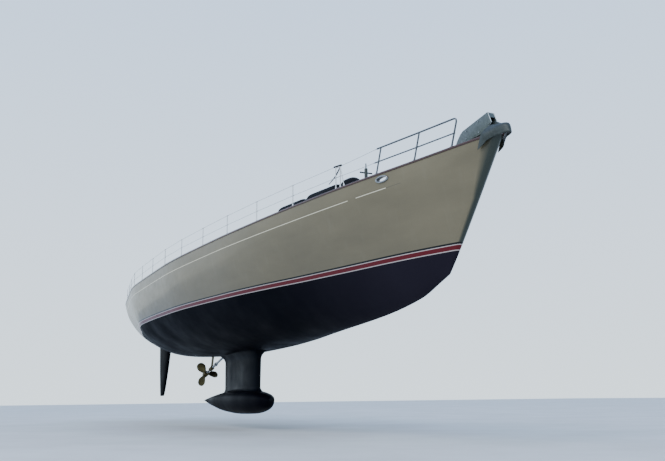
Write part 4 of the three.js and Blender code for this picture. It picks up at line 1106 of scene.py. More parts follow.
def teak_finish(name="laid_teak", swept=True):
    wood = Finish(name, (168, 138, 102), 0.62, "teak")
    along, across = (wood.axis(wood.place(kind="UV" if swept else "Object"), letter) for letter in "XY")
    step = wood.math("DIVIDE", across, PLANK_WIDTH)
    plank = wood.math("FLOOR", step)
    share = wood.math("FRACT", step)
    own = wood.node("ShaderNodeCombineXYZ", X=wood.math("MULTIPLY", along, 0.35),
                    Y=wood.math("MULTIPLY", plank, 7.3))
    tone = wood.noise(own.outputs[0], 1.7, 2.0, 0.5)
    grain = wood.noise(wood.place((1.5, 60.0, 60.0)), 3.0, 5.0, 0.6)
    body = wood.mix(wood.ramp(tone, 0.35, 0.65), (150, 122, 90), (186, 160, 124))
    body = wood.mix(wood.ramp(grain, 0.35, 0.7, 0.0, 0.35), body, (120, 96, 72))
    half_seam = SEAM_WIDTH / PLANK_WIDTH / 2
    seam = wood.math("ADD", wood.ramp(share, half_seam - 0.01, half_seam + 0.01, 1.0, 0.0),
                     wood.ramp(share, 1 - half_seam - 0.01, 1 - half_seam + 0.01))
    if swept:
        seam = wood.math("MULTIPLY", seam, wood.ramp(across, COVERING_BOARD, COVERING_BOARD + 0.002))
    body = wood.mix(seam, body, (26, 24, 22))
    wood.set("Base Color", body)
    wood.set("Roughness", wood.ramp(tone, 0.3, 0.7, 0.55, 0.72))
    wood.bump(wood.math("SUBTRACT", grain, seam), 0.0012, 0.5)
    return wood


deck_teak = teak_finish()
plain_teak = teak_finish("teak_boards", swept=False)
print("planks", PLANK_WIDTH, "wide")

# %% [markdown]
# Where the deck is open
#
# The deck stops at the cockpit, at the saloon under the deckhouse and inside three hatches. Beside each
# opening the deck is one strip on each side, from the opening's edge out to the bulwark, so each strip is a
# simple grid.

# %% Deck strips
DECK_STEP = 0.22
BLEND = 0.001                 # the deck ends this far inside the bulwark, and no strip is thinner
WELL_FRONT, WELL_NARROWS, WELL_BACK = -5.3, -8.6, -11.7
WELL_HALF, WELL_BACK_HALF, SOLE = 1.75, 1.45, 0.9
SALOON_FRONT, SALOON_BACK, SALOON_HALF, SALOON_FLOOR = 0.7, -4.7, 1.15, 0.5
HATCH_FRAME, HATCH_WALL, HATCH_LID = 0.07, 0.045, 0.04
# name, hinge, far end, half breadth, body of its lid
HATCHES = (("forepeak_hatch", 11.9, 11.15, 0.375, "forepeak_lid"),
           ("sail_locker_hatch", 8.9, 7.7, 0.6, "sail_locker_lid"),
           ("lazarette_hatch", -13.05, -14.0, 0.5, "lazarette_lid"))
DECK_FRONT = STEM_X - DECK_STARTS
DECK_BACK = TRANSOM_X + BULWARK_THICK


def well_half(x):
    share = max(0, (WELL_NARROWS - x) / (WELL_NARROWS - WELL_BACK))
    return WELL_HALF + share * (WELL_BACK_HALF - WELL_HALF)


def deck_holes():
    holes = [(SALOON_BACK, SALOON_FRONT, lambda x: SALOON_HALF), (WELL_BACK, WELL_FRONT, well_half)]
    for _, hinge, end, half, _ in HATCHES:
        back, front = sorted((hinge, end))
        holes.append((back + HATCH_WALL, front - HATCH_WALL, lambda x, h=half: h - HATCH_WALL))
    return sorted(holes, key=lambda hole: -hole[1])


def deck_strip(shape, front, back, inner):
    """Two grids of deck between two places, port and starboard, whose inner edge is a function of x."""
    count = max(2, ceil((front - back) / DECK_STEP))
    for side in (1, -1):
        rows = []
        depths = {}
        for x in spread(front, back, count):
            section = Section(x)
            edge = section.side(section.deck_edge)
            half = max(deck_half(section) - BLEND, inner(x) + BLEND)
            row = []
            for y in spread(inner(x), half, 12):
                row.append((edge.x, side * y, deck_height(x, y)))
                depths[(len(rows), len(row) - 1)] = (half - y) if y > KING_PLANK_HALF else -1.0
            rows.append(row)
        shape.rows(rows, uv=lambda r, i, p: (p[0], depths[(r, i)]))


def make_deck():
    shape = Shape()
    front = DECK_FRONT
    for hole_back, hole_front, half in deck_holes():
        deck_strip(shape, front, hole_front, lambda x: 0.0)
        deck_strip(shape, hole_front, hole_back, half)
        front = hole_back
    deck_strip(shape, front, DECK_BACK, lambda x: 0.0)
    return shape.make("laid_deck", deck_teak, "deck", smooth=60)


deck = make_deck()
print("deck", len(deck.data.polygons), "faces")

# %% [markdown]
# White paint, dark panes and rubber
#
# The deckhouse, coamings and hatch frames are sprayed white over filler: smooth, glossy, with a very soft
# waviness. Hatch panes are smoked acrylic, and window panes are dark tinted glass.

# %% White, pane and rubber finishes
def white_finish():
    white = Finish("white_paint", (228, 226, 218), 0.3, "white_paint", coat=0.5, coat_roughness=0.08)
    cloud = white.noise(white.place(), 1.3, 4.0, 0.6)
    film = white.noise(white.place((1, 1, 0.2)), 9.0, 5.0, 0.6)
    body = white.mix(white.ramp(cloud, 0.3, 0.7), (222, 220, 212), (234, 232, 225))
    white.set("Base Color", white.mix(white.ramp(film, 0.55, 0.8, 0.0, 0.18), body, (196, 192, 182)))
    white.set("Roughness", white.ramp(cloud, 0.3, 0.7, 0.26, 0.36))
    white.bump(white.noise(white.place(), 3.0, 2.0, 0.4), 0.002, 0.4)
    return white


def pane_finish(name, color, roughness):
    pane = Finish(name, color, roughness, "tinted_glass", coat=0.6, coat_roughness=0.03)
    cloud = pane.noise(pane.place(), 4.0, 4.0, 0.6)
    pane.set("Roughness", pane.ramp(cloud, 0.3, 0.7, roughness, roughness + 0.06))
    pane.set("Alpha", 0.92)
    return pane


def rubber_finish(name, color, roughness=0.7, weave=0.0, slot="black_cover"):
    rubber = Finish(name, color, roughness, slot)
    dust = rubber.noise(rubber.place(), 5.0, 5.0, 0.65)
    dusty = tuple(c + 22 for c in color)
    rubber.set("Base Color", rubber.mix(rubber.ramp(dust, 0.45, 0.75, 0.0, 0.5), color, dusty))
    fine = rubber.noise(rubber.place(), 400.0 if weave else 80.0, 2.0, 0.5)
    rubber.bump(fine, weave or 0.0004, 0.6)
    return rubber


white_paint = white_finish()
hatch_pane = pane_finish("smoked_acrylic", (22, 25, 27), 0.12)
tinted_glass = pane_finish("tinted_glass", (16, 19, 21), 0.06)
black_rubber = rubber_finish("black_rubber", (22, 22, 23))
cabin_wood = varnish_finish("cabin_wood", (128, 78, 44), (102, 58, 34), (146, 94, 54), 0.25)
# The locker finish is painted shade: a dark matt colour for the hatch floors.
locker_shade = Finish("locker_shade", (10, 11, 12), 0.95, "black_cover")
locker_shade.set("Specular IOR Level", 0.1)
print("deck finishes ready")

# %% [markdown]
# Hatches
#
# Each hatch is a welded frame on the deck, a rubber seal, and a lid with a smoked pane that hinges at one
# end. The frame stays on deck while the lid is a body of its own, so the lid's hinges, latches and pane
# ride on that body. Frames, lids and panes are all stacks of rounded outlines, so each is a short list of
# inset and height.

# %% Hatch frames and lids
LID_GAP = 0.0003              # a lid rests just clear of its frame
SEAL_INSET, SEAL_RADIUS = 0.022, 0.004


def outlines(back, front, half, steps, least, corner=0.0):
    """Rounded outlines for steps of inset and height; their corners shrink to the least radius."""
    return [rounded_rectangle(back + inset, front - inset, -half + inset, half - inset,
                              max(corner - inset, least), z, 4) for inset, z in steps]


def hatch_top(hinge, end):
    return max(deck_height(hinge), deck_height(end)) + HATCH_FRAME


def make_hatch(name, hinge, end, half, body):
    back, front = sorted((hinge, end))
    top = hatch_top(hinge, end)
    low = min(deck_height(back, half), deck_height(front, half)) - 0.03
    edge = ((0, low), (0, top - 0.016), (0.005, top - 0.006), (0.016, top), (HATCH_WALL - 0.008, top),
            (HATCH_WALL, top - 0.008), (HATCH_WALL, low))
    frame = Shape().rows(outlines(back, front, half, edge, 0.012, 0.05), across=True)
    frame.make(name + "_frame", white_paint, smooth=35)
    # A dark matt floor just under the deck is painted shade that stands for the locker's dark depth.
    floor = Shape().lid(outlines(back, front, half, [(HATCH_WALL, low + 0.012)], 0.012)[0])
    floor.make(name + "_floor", locker_shade)
    path = outlines(back, front, half, [(SEAL_INSET, top - 0.002)], 0.03)[0]
    middle = (back + front) / 2
    rings = []
    for t in (0, pi / 2, pi):
        out, up = SEAL_RADIUS * cos(t), SEAL_RADIUS * sin(t)
        rings.append([(x + copysign(out, x - middle), y, z + up) for x, y, z in path])
    Shape().rows(rings, across=True).make(name + "_seal", black_rubber)
    away = copysign(1, end - hinge)
    z = top + LID_GAP
    far = end - away * 0.015
    x0, x1 = sorted((hinge, far))
    high = z + HATCH_LID
    edge = ((0, z), (0, z + 0.022), (0.004, z + 0.033), (0.014, high), (0.082, high), (0.086, high - 0.004))
    lid = Shape().skin(outlines(x0, x1, half, edge, 0.02, 0.05))
    for y in (-half * 0.6, half * 0.6):
        lid.tube([(hinge - away * 0.012, y - 0.05, z + 0.026),
                  (hinge + away * 0.012, y + 0.05, z + 0.026)], 0.012, 10)
    lid.make(name + "_lid", white_paint, name, body=body, smooth=35)
    edge = ((0.09, high - 0.003), (0.09, high + 0.006), (0.095, high + 0.0095))
    pane = Shape().skin(outlines(x0, x1, half, edge, 0.035))
    pane.make(name + "_pane", hatch_pane, body=body, smooth=35)
    grip = Shape()
    for y in (-half * 0.55, half * 0.55):
        spot = (far - away * 0.045, y, high)
        grip.turned(mm((4, 0), (26, 0), (26, 4), (20, 7), (3, 7.5)), spot, 16)
    grip.make(name + "_latches", steel, body=body, smooth=35)


for hatch in HATCHES:
    make_hatch(*hatch)
print("hatches", [hatch[0] for hatch in HATCHES])

# %% [markdown]
# Cleats, bitts and chainplates
#
# A horn cleat is cast in one piece: two feet that flare at the deck and a bar whose ends rise and thin out.
# A mooring bitt is a post with a cross bar. The chainplate is a plate with three eyes for the shrouds'
# pins, and the mast's collar is an oval ring that stands closed while the mast is out.

# %% Deck fittings
CLEATS, CLEAT_INSET = (6.6, -1.2, -13.4), 0.33
CLEAT_HALF, CLEAT_FOOT, CLEAT_BAR, CLEAT_TOP = 0.212, 0.07, 0.024, 0.1
CHAINPLATE_X, CHAINPLATE_LONG, CHAINPLATE_THICK, CHAINPLATE_HIGH = 2.5, 0.42, 0.026, 0.19
CHAINPLATE_INSET, EYES, EYE_RADIUS = 0.26, (0.14, 0.0, -0.14), 0.066
BITT_X, BITT_INSET, BITT_RADIUS, BITT_BODY, BITT_HEIGHT = 12.55, 0.35, 0.042, 0.66, 0.79
BITT_ARM, BITT_ARM_AT = 0.175, 0.545
MAST_X, MAST_LONG, MAST_WIDE, MAST_HIGH, COLLAR_BOLTS = 2.9, 0.33, 0.23, 0.15, 14
grey_paint = metal_finish("grey_fitting", (52, 58, 54), 0.45, 0.08, 0.4, "grey_metal")


def make_cleats():
    shape = Shape()
    for x in CLEATS:
        for side in (1, -1):
            y = side * (rail_half(x) - CLEAT_INSET)
            z = deck_height(x, y)
            for step in (-CLEAT_FOOT, CLEAT_FOOT):
                profile = mm((48, -6), (46, 6), (30, 14), (22, 40), (21, 80), (20, 100))
                shape.turned(profile, (x + step, y, z), 16)
            rings = []
            for share in spread(-1, 1, 16):
                high = z + CLEAT_TOP + 0.012 * abs(share) ** 3
                radius = CLEAT_BAR * (1 - 0.62 * abs(share) ** 2.2)
                rings.append([(x + share * CLEAT_HALF, y + radius * cos(t), high + radius * 0.85 * sin(t))
                              for t in circle(12)])
            shape.skin(rings)
    return shape.make("cleats", steel, "deck", smooth=45)


def make_bitt(side, tag):
    y = side * (rail_half(BITT_X) - BITT_INSET)
    z = deck_height(BITT_X, y)
    shape = Shape()
    r = BITT_RADIUS
    shape.turned([(r * 2, -0.012), (r * 2, 0.012), (r * 1.9, 0.018), (r * 1.35, 0.024), (r * 1.1, 0.045),
                  (r, 0.07), (r, BITT_BODY - 0.02), (r * 0.92, BITT_BODY - 0.005), (0.018, BITT_BODY),
                  (0.015, BITT_BODY + 0.008), (0.015, BITT_HEIGHT - 0.01), (0.009, BITT_HEIGHT),
                  (0.002, BITT_HEIGHT)], (BITT_X, y, z), 24)
    shape.turned([(0.004, -BITT_ARM), (0.014, -BITT_ARM + 0.003), (0.019, -BITT_ARM + 0.012),
                  (0.019, BITT_ARM - 0.012), (0.014, BITT_ARM - 0.003), (0.004, BITT_ARM)],
                 (BITT_X, y, z + BITT_ARM_AT), 16, (0, 1, 0))
    return shape.make("bitt_" + tag, grey_paint, "mooring_bitt_" + tag)


def make_chainplate(side, tag):
    y = side * (rail_half(CHAINPLATE_X) - CHAINPLATE_INSET)
    z = deck_height(CHAINPLATE_X, y)
    half = CHAINPLATE_LONG / 2
    outline = [(-half, -0.01), (half, -0.01), (half, 0.11)]
    eye_height = CHAINPLATE_HIGH - EYE_RADIUS
    for centre in EYES:
        for turn in spread(0, pi, 8):
            outline.append((centre + EYE_RADIUS * cos(turn), eye_height + EYE_RADIUS * sin(turn)))
    outline.append((-half, 0.11))
    thick = CHAINPLATE_THICK / 2
    shape = Shape().skin([[(CHAINPLATE_X + px, y + out, z + pz) for px, pz in outline]
                          for out in (-thick, thick)])
    for centre in EYES:
        shape.turned([(0.002, -thick), (0.02, -thick - 0.006), (0.02, thick + 0.006), (0.002, thick)],
                     (CHAINPLATE_X + centre, y, z + eye_height), 16, (0, 1, 0))
    corners = ((1, 1), (-1, 1), (-1, -1), (1, -1))
    foot = [(CHAINPLATE_X + sx * (half + 0.05), y + sy * 0.07) for sx, sy in corners]
    shape.skin([[(px, py, deck_height(px, py) + lift) for px, py in foot] for lift in (-0.004, 0.008)])
    return shape.make("chainplate_fine_" + tag, steel, "chainplate_" + tag, smooth=30)


def make_mast_collar():
    low = deck_height(MAST_X) - 0.03
    top = deck_height(MAST_X) + MAST_HIGH
    steps = ((0.0, low), (0.0, low + 0.045), (-0.004, low + 0.05), (-0.022, low + 0.054),
             (-0.024, top - 0.03), (-0.004, top - 0.026), (0.0, top - 0.02), (0.0, top - 0.006),
             (-0.008, top), (-0.035, top), (-0.04, top - 0.01))
    shape = Shape().skin([[(MAST_X + (MAST_LONG + grow) * cos(t), (MAST_WIDE + grow) * sin(t), z)
                           for t in circle(48)] for grow, z in steps])
    for k in range(COLLAR_BOLTS):
        turn = 2 * pi * (k + 0.5) / COLLAR_BOLTS
        spot = (MAST_X + (MAST_LONG - 0.018) * cos(turn), (MAST_WIDE - 0.018) * sin(turn), top - 0.002)
        shape.turned(mm((9, 0), (9, 1.5), (3, 2)), spot, 6)
    return shape.make("mast_collar_fine", steel, "mast_collar", smooth=35)


make_cleats()
both_sides(make_bitt)
both_sides(make_chainplate)
make_mast_collar()
print("fittings on deck")

# %% [markdown]
# The windlass
#
# The anchor windlass stands upright on the foredeck: a turned base, and above it a drum with a waisted
# barrel for rope and a ring of pockets for the chain. The drum turns, so it is a piece of its own body.

# %% Windlass
CAPSTAN_X, CAPSTAN_RADIUS, CAPSTAN_HIGH = 12.95, 0.165, 0.42


def make_windlass():
    top = deck_height(CAPSTAN_X)
    base = Shape()
    wide = CAPSTAN_RADIUS * 1.5
    base.turned([(wide, -0.03), (wide, 0.02), (wide - 0.006, 0.028), (wide - 0.03, 0.034),
                 (wide - 0.04, 0.06), (wide - 0.05, 0.07), (0.05, 0.07), (0.04, 0.071)],
                (CAPSTAN_X, 0, top), 40)
    for turn in circle(8):
        base.turned(mm((11, 0), (11, 7), (4, 8)),
                    Vector((CAPSTAN_X, 0, top + 0.028)) + heading(turn) * (wide - 0.017), 6)
    base.make("windlass_base_fine", steel, "windlass_base", smooth=35)
    drum = Shape()
    low = top + 0.0703
    r = CAPSTAN_RADIUS
    end = low + CAPSTAN_HIGH - 0.11
    profile = [(0.042, low), (r, low), (r, low + 0.012), (r * 0.86, low + 0.02), (r * 0.84, low + 0.03),
               (r, low + 0.04), (r, low + 0.052), (r * 0.8, low + 0.07), (r * 0.65, low + 0.1),
               (r * 0.6, low + 0.14), (r * 0.6, low + 0.19), (r * 0.66, low + 0.23), (r * 0.8, low + 0.262),
               (r * 0.85, low + 0.27), (r * 0.85, end - 0.012), (r * 0.8, end), (r * 0.3, end + 0.004),
               (r * 0.28, end + 0.012), (0.003, end + 0.012)]
    drum.turned(profile, (CAPSTAN_X, 0, 0), 48)
    for turn in circle(5):
        along = heading(turn)
        centre = Vector((CAPSTAN_X, 0, low + 0.026)) + along * (r * 0.86)
        drum.tube([centre - along * 0.004, centre + along * 0.022], 0.014, 8, end=0.008)
    for turn in circle(8):
        along = heading(turn)
        drum.tube([Vector((CAPSTAN_X, 0, low + 0.11)) + along * (r * 0.645),
                   Vector((CAPSTAN_X, 0, low + 0.22)) + along * (r * 0.64)], 0.006, 6)
    drum.make("windlass_drum_fine", steel, "windlass_drum", body="windlass", smooth=35)


make_windlass()
print("windlass at", CAPSTAN_X)

# %% [markdown]
# The deckhouse
#
# The deckhouse is moulded in one piece: walls that lean in, a rounded shoulder and a crowned roof that
# falls towards the mast. Here it is an outer skin with an inner skin taken out of it, and then the windows,
# the roof hatch and the way in are cut through the wall. Blender's exact boolean does those cuts, as a saw
# does on the real moulding.

# %% Shape of the house
# x, half breadth, roof height
HOUSE = ((1.70, 1.12, 1.72), (1.15, 1.25, 2.24), (0.10, 1.42, 2.48), (-1.50, 1.56, 2.56), (-2.60, 1.60, 2.56),
         (-5.00, 1.60, 2.56))
HOUSE_BACK, HOUSE_ROOF = HOUSE[-1][0], HOUSE[-1][2]
HOUSE_WALL, ROOF_CROWN, WALL_LEAN = 0.06, 0.13, 0.9
WINDOW_LOW, WINDOW_HIGH, WINDOW_CORNER, GLASS_THICK = 1.85, 2.18, 0.09, 0.014
WINDOW_SPANS = ((-0.05, 0.95), (-2.15, -0.25), (-4.25, -2.35))
DOOR_HALF, DOOR_SILL = 0.37, 1.6
SLIDE_FRONT, SLIDE_HALF, SLIDE_THICK, SLIDE_TRAVEL = -3.75, 0.42, 0.055, 0.85
SLIDE_LOW, SLIDE_CROWN = HOUSE_ROOF + 0.006, 0.018
ROOF_HATCH = (-1.95, -1.25, 0.35)
HINGE_X, HINGE_Y, HINGE_HEIGHTS, KNUCKLE = HOUSE_BACK - 0.016, DOOR_HALF + 0.004, (1.72, 2.26), 0.06
SHOULDER_DROP, ROOF_POWER, RIM_LIFT = 0.06, 2.4, 0.045
ROOF_HATCH_WALL = 0.045
GRAB_FRONT, GRAB_BACK, GRAB_SHARE = 0.3, -4.3, 0.72


def straight(rows, column, x):
    """A value between rows, in straight lines."""
    for first, second in zip(rows, rows[1:]):
        if x >= second[0]:
            share = (x - first[0]) / (second[0] - first[0])
            return first[column] + share * (second[column] - first[column])
    return rows[-1][column]


def house_ring(x, thick, low, shift=0.0):
    """From the port wall's foot over the roof to the starboard wall's foot."""
    half = straight(HOUSE, 1, x) - thick
    top = straight(HOUSE, 2, x) - thick
    arc = [Vector((x + shift, half * WALL_LEAN * s, top - ROOF_CROWN * s ** ROOF_POWER))
           for s in (0.9, 0.75, 0.55, 0.35, 0.15, 0.0)]
    shoulder = Vector((x + shift, half * WALL_LEAN, top - ROOF_CROWN - SHOULDER_DROP))
    corner = Vector((x + shift, half * WALL_LEAN, top - ROOF_CROWN * 0.985))
    port = [Vector((x + shift, half, low)), *bend(shoulder, corner, arc[0], 6), *arc[1:-1]]
    return port + [arc[-1]] + mirrored(port)


def wall_y(x, z, thick=0.0):
    """Half breadth of the wall at a height."""
    half = straight(HOUSE, 1, x) - thick
    low, high = 1.3, straight(HOUSE, 2, x) - thick - ROOF_CROWN - SHOULDER_DROP
    share = min(1, max(0, (z - low) / (high - low)))
    return half * (1 - (1 - WALL_LEAN) * share)


def loose(shape, name):
    """A plain object that is only used in a cut."""
    mesh = bpy.data.meshes.new(name)
    mesh.from_pydata(shape.points, [], shape.faces)
    clean(mesh)
    thing = bpy.data.objects.new(name, mesh)
    bpy.context.collection.objects.link(thing)
    return thing


def saw(shape, cutters):
    """Takes the cutters out of a shape and returns what is left."""
    body = loose(shape, "sawn")
    tools = [loose(cutter, "saw") for cutter in cutters]
    for tool in tools:
        step = body.modifiers.new("cut", "BOOLEAN")
        step.object = tool
        step.operation = "DIFFERENCE"
        step.solver = "EXACT"
    bpy.context.view_layer.update()
    left = bpy.data.meshes.new_from_object(body.evaluated_get(bpy.context.evaluated_depsgraph_get()))
    result = Shape()
    result.points = [tuple(v.co) for v in left.vertices]
    result.faces = [tuple(p.vertices) for p in left.polygons]
    for thing in [body, *tools]:
        mesh = thing.data
        bpy.data.objects.remove(thing)
        bpy.data.meshes.remove(mesh)
    bpy.data.meshes.remove(left)
    return result


def window_outline(back, front, grow=0.0):
    low, high = WINDOW_LOW - grow, WINDOW_HIGH + grow
    ring = rounded_rectangle(back - grow, front + grow, low, high, WINDOW_CORNER + grow, 0, 8)
    return [(x, z) for x, z, _ in ring]


def make_house():
    xs = spread(HOUSE[0][0], 1.15, 5)[:-1] + spread(1.15, 0.1, 8)[:-1] + spread(0.1, -1.5, 8)[:-1]
    xs += [-1.5, -2.6, -3.4, -4.2, -5.0]
    outer = Shape().skin([house_ring(x, 0, min(deck_height(x, 1.5), deck_height(x, 1.2)) - 0.06) for x in xs])
    inside_xs = [(x, -0.15 if k == 0 else (HOUSE_WALL if k == len(xs) - 1 else 0)) for k, x in enumerate(xs)]
    cutters = [Shape().skin([house_ring(x, HOUSE_WALL, 1.2, shift) for x, shift in inside_xs])]
    for back, front in WINDOW_SPANS:
        outline = window_outline(back, front)
        cutters.append(Shape().skin([[(x, y, z) for x, z in outline] for y in (-2, 2)]))
    cutters.append(Shape().block((HOUSE_BACK - 0.1, -DOOR_HALF, DOOR_SILL),
                                 (HOUSE_BACK + 0.4, DOOR_HALF, 2.7)))
    cutters.append(Shape().block((HOUSE_BACK - 0.11, -DOOR_HALF + 0.0001, 2.3),
                                 (SLIDE_FRONT - 0.06, DOOR_HALF - 0.0001, 2.71)))
    back, front, half = ROOF_HATCH
    wall, rim = ROOF_HATCH_WALL, HOUSE_ROOF + RIM_LIFT
    cutters.append(Shape().block((back + wall, -half + wall, 2.3), (front - wall, half - wall, 2.9)))
    shape = saw(outer, cutters)
    steps = ((0, 2.5), (0, rim - 0.01), (0.01, rim), (0.035, rim), (wall, rim - 0.01), (wall, 2.46))
    shape.rows(outlines(back, front, half, steps, 0.03), across=True)
    rail_front = SLIDE_FRONT + SLIDE_TRAVEL + 0.02
    for side in (1, -1):
        for low, high, top in ((SLIDE_HALF + 0.012, SLIDE_HALF + 0.052, SLIDE_LOW + 0.045),
                               (SLIDE_HALF - 0.03, SLIDE_HALF + 0.02, SLIDE_LOW - 0.0003)):
            y0, y1 = sorted((side * low, side * high))
            shape.block((HOUSE_BACK + 0.01, y0, 2.46), (rail_front, y1, top), 0.004, 2)
    return shape.make("house", white_paint, "deckhouse", smooth=35)


house = make_house()
print("deckhouse", len(house.data.polygons), "faces")

# %% [markdown]
# Window panes
#
# One dark pane runs along the inside of each wall, behind all its openings, and follows the wall's lean. A
# black rubber line seals each opening: it is the cut's own outline pushed on to the wall, so it fits at
# every size.

# %% Panes and seals
# growth of the outline, distance out from the wall
SEAL_LIPS = ((0.012, 0.0), (0.012, 0.004), (0.006, 0.0065), (-0.004, 0.0065), (-0.01, 0.002),
             (-0.01, -HOUSE_WALL))


def make_pane(side, tag):
    shape = Shape()
    xs = spread(1.08, 0.1, 6)[:-1] + spread(0.1, -1.5, 6)[:-1]
    xs += [-1.5, -2.6, -3.6, HOUSE_BACK + HOUSE_WALL + 0.2]
    rings = []
    for x in xs:
        ring = []
        heights = (WINDOW_LOW - 0.06, 2.0, WINDOW_HIGH + 0.055)
        for thick, zs in ((HOUSE_WALL + 0.0005, heights), (HOUSE_WALL + GLASS_THICK, heights[::-1])):
            ring += [(x, side * wall_y(x, z, thick), z) for z in zs]
        rings.append(ring)
    shape.skin(rings)
    return shape.make("pane_" + tag, tinted_glass, "side_glass_" + tag, smooth=30)


def make_window_seals():
    shape = Shape()
    for back, front in WINDOW_SPANS:
        for side in (1, -1):
            shape.rows([[(x, side * (wall_y(x, z) + out), z) for x, z in window_outline(back, front, grow)]
                        for grow, out in SEAL_LIPS], across=True)
    return shape.make("window_seals", black_rubber)


both_sides(make_pane)
make_window_seals()
print("windows", len(WINDOW_SPANS), "a side")

# %% [markdown]
# Roof hatch, sliding hatch and door
#
# The companionway closes with a sliding hatch that runs forward on two rails and a varnished door with
# louvres for air. Both move, so each detail on them rides on its body. Grab rails run along the roof.

# %% Lids, door and grab rails
def make_roof_hatch():
    back, front, half = ROOF_HATCH
    z = HOUSE_ROOF + RIM_LIFT + LID_GAP
    steps = ((0, z), (0, z + 0.02), (0.004, z + 0.03), (0.012, z + 0.036), (0.072, z + 0.036),
             (0.076, z + 0.033))
    lid = Shape().skin(outlines(back, front, half, steps, 0.02, 0.04))
    lid.make("roof_lid_fine", white_paint, "roof_hatch", body="roof_lid", smooth=35)
    steps = ((0.08, z + 0.033), (0.08, z + 0.04), (0.086, z + 0.0435))
    pane = Shape().skin(outlines(back, front, half, steps, 0.03))
    pane.make("roof_lid_pane", hatch_pane, body="roof_lid", smooth=35)


def make_slide():
    shape = Shape()
    rings = []
    for x, drop in ((SLIDE_FRONT, 0.012), (SLIDE_FRONT - 0.008, 0.004), (SLIDE_FRONT - 0.03, 0.0),
                    (HOUSE_BACK - 0.01, 0.0), (HOUSE_BACK - 0.032, 0.004), (HOUSE_BACK - 0.04, 0.012)):
        low = [Vector((x, SLIDE_HALF * s, SLIDE_LOW + SLIDE_CROWN * (1 - s * s))) for s in spread(1, -1, 16)]
        rings.append(low + [p + UP * (SLIDE_THICK - drop) for p in reversed(low)])
    shape.skin(rings)
    top = SLIDE_LOW + SLIDE_THICK
    shape.tube([(HOUSE_BACK + 0.08, y, top + lift)
                for y, lift in ((-0.12, 0.012), (-0.11, 0.04), (0.11, 0.04), (0.12, 0.012))], 0.009, 10)
    return shape.make("slide_fine", white_paint, "companionway_slide", body="slide")


def make_door():
    low, high = DOOR_SILL + 0.006, SLIDE_LOW - 0.01
    half, back, front = DOOR_HALF - 0.006, HOUSE_BACK, HOUSE_BACK + 0.04
    shape = Shape()
    post = half - 0.09
    for y0, y1, z0, z1 in ((-half, -post, low, high), (post, half, low, high), (-post, post, low, low + 0.12),
                           (-post, post, high - 0.1, high), (-post, post, low + 0.5, low + 0.58)):
        shape.block((back, y0, z0), (front, y1, z1), 0.004, 2)
    shape.block((back + 0.012, -half + 0.08, low + 0.1), (front - 0.012, half - 0.08, low + 0.52), 0.002, 1)
    for k in range(6):
        z = low + 0.6 + 0.034 * k
        louvre = ((back + 0.006, z), (back + 0.012, z), (front - 0.006, z + 0.03), (front - 0.012, z + 0.03))
        shape.skin([[(px, y, pz) for px, pz in louvre] for y in (-half + 0.085, half - 0.085)])
    shape.make("door_fine", cabin_wood, "companionway_door", body="door", smooth=35)
    metal = Shape()
    for z in HINGE_HEIGHTS:
        metal.turned(mm((3, 60.3), (11.5, 60.3), (11.5, 120), (3, 120)), (HINGE_X, HINGE_Y, z), 12)
        metal.block((HOUSE_BACK - 0.006, DOOR_HALF - 0.08, z + KNUCKLE + LID_GAP),
                    (HOUSE_BACK + 0.001, DOOR_HALF - 0.004, z + 2 * KNUCKLE), 0.002, 1)
    metal.tube([(HOUSE_BACK - 0.004, -half + 0.045, low + 0.5),
                (HOUSE_BACK - 0.04, -half + 0.045, low + 0.5)], 0.008, 10)
    metal.tube([(HOUSE_BACK - 0.036, -half + 0.045, low + 0.5),
                (HOUSE_BACK - 0.036, -half + 0.13, low + 0.5)], 0.007, 10)
    metal.make("door_metal", steel, body="door", smooth=35)
    pins = Shape()
    for z in HINGE_HEIGHTS:
        pins.turned([(0.003, 0.0), (0.0118, 0.0), (0.0118, KNUCKLE), (0.003, KNUCKLE)],
                    (HINGE_X, HINGE_Y, z), 12)
    pins.make("door_posts", steel, smooth=35)


def make_grab_rails():
    shape = Shape()
    for side in (1, -1):
        path = []
        for x in spread(GRAB_FRONT, GRAB_BACK, 24):
            drop = ROOF_CROWN * (GRAB_SHARE / WALL_LEAN) ** ROOF_POWER
            path.append(Vector((x, side * GRAB_SHARE * straight(HOUSE, 1, x),
                                straight(HOUSE, 2, x) - drop + 0.055)))
        shape.tube(path, 0.013, 10)
        for top in path[::4]:
            foot = top - UP * 0.062
            shape.tube([foot, top], 0.009, 8)
            shape.turned(mm((26, 0), (26, 8), (12, 12)), foot, 12)
    return shape.make("grab_rails", steel)


make_roof_hatch()
make_slide()
make_door()
make_grab_rails()
print("house closed")

# %% [markdown]
# Inside the openings
#
# Through the windows and the companionway one sees the saloon, and the cockpit is a well in the deck. Both
# are lined: the saloon with varnished panels and a teak sole, the well with white paint and teak boards.
# These faces belong to the hull, which they close on the inside.

# %% Liners of the saloon and the cockpit
def make_saloon():
    walls = Shape()
    corners = [(SALOON_FRONT, SALOON_HALF), (SALOON_BACK, SALOON_HALF), (SALOON_BACK, -SALOON_HALF),
               (SALOON_FRONT, -SALOON_HALF)]
    walls.rows([[(x, y, SALOON_FLOOR) for x, y in corners],
                [(x, y, deck_height(x, y) - 0.001) for x, y in corners]], across=True)
    walls.make("saloon_walls", cabin_wood)
    floor = Shape()
    floor.block((SALOON_BACK + 0.001, -SALOON_HALF + 0.001, SALOON_FLOOR - 0.02),
                (SALOON_FRONT - 0.001, SALOON_HALF - 0.001, SALOON_FLOOR + 0.002))
    floor.make("saloon_sole", plain_teak)


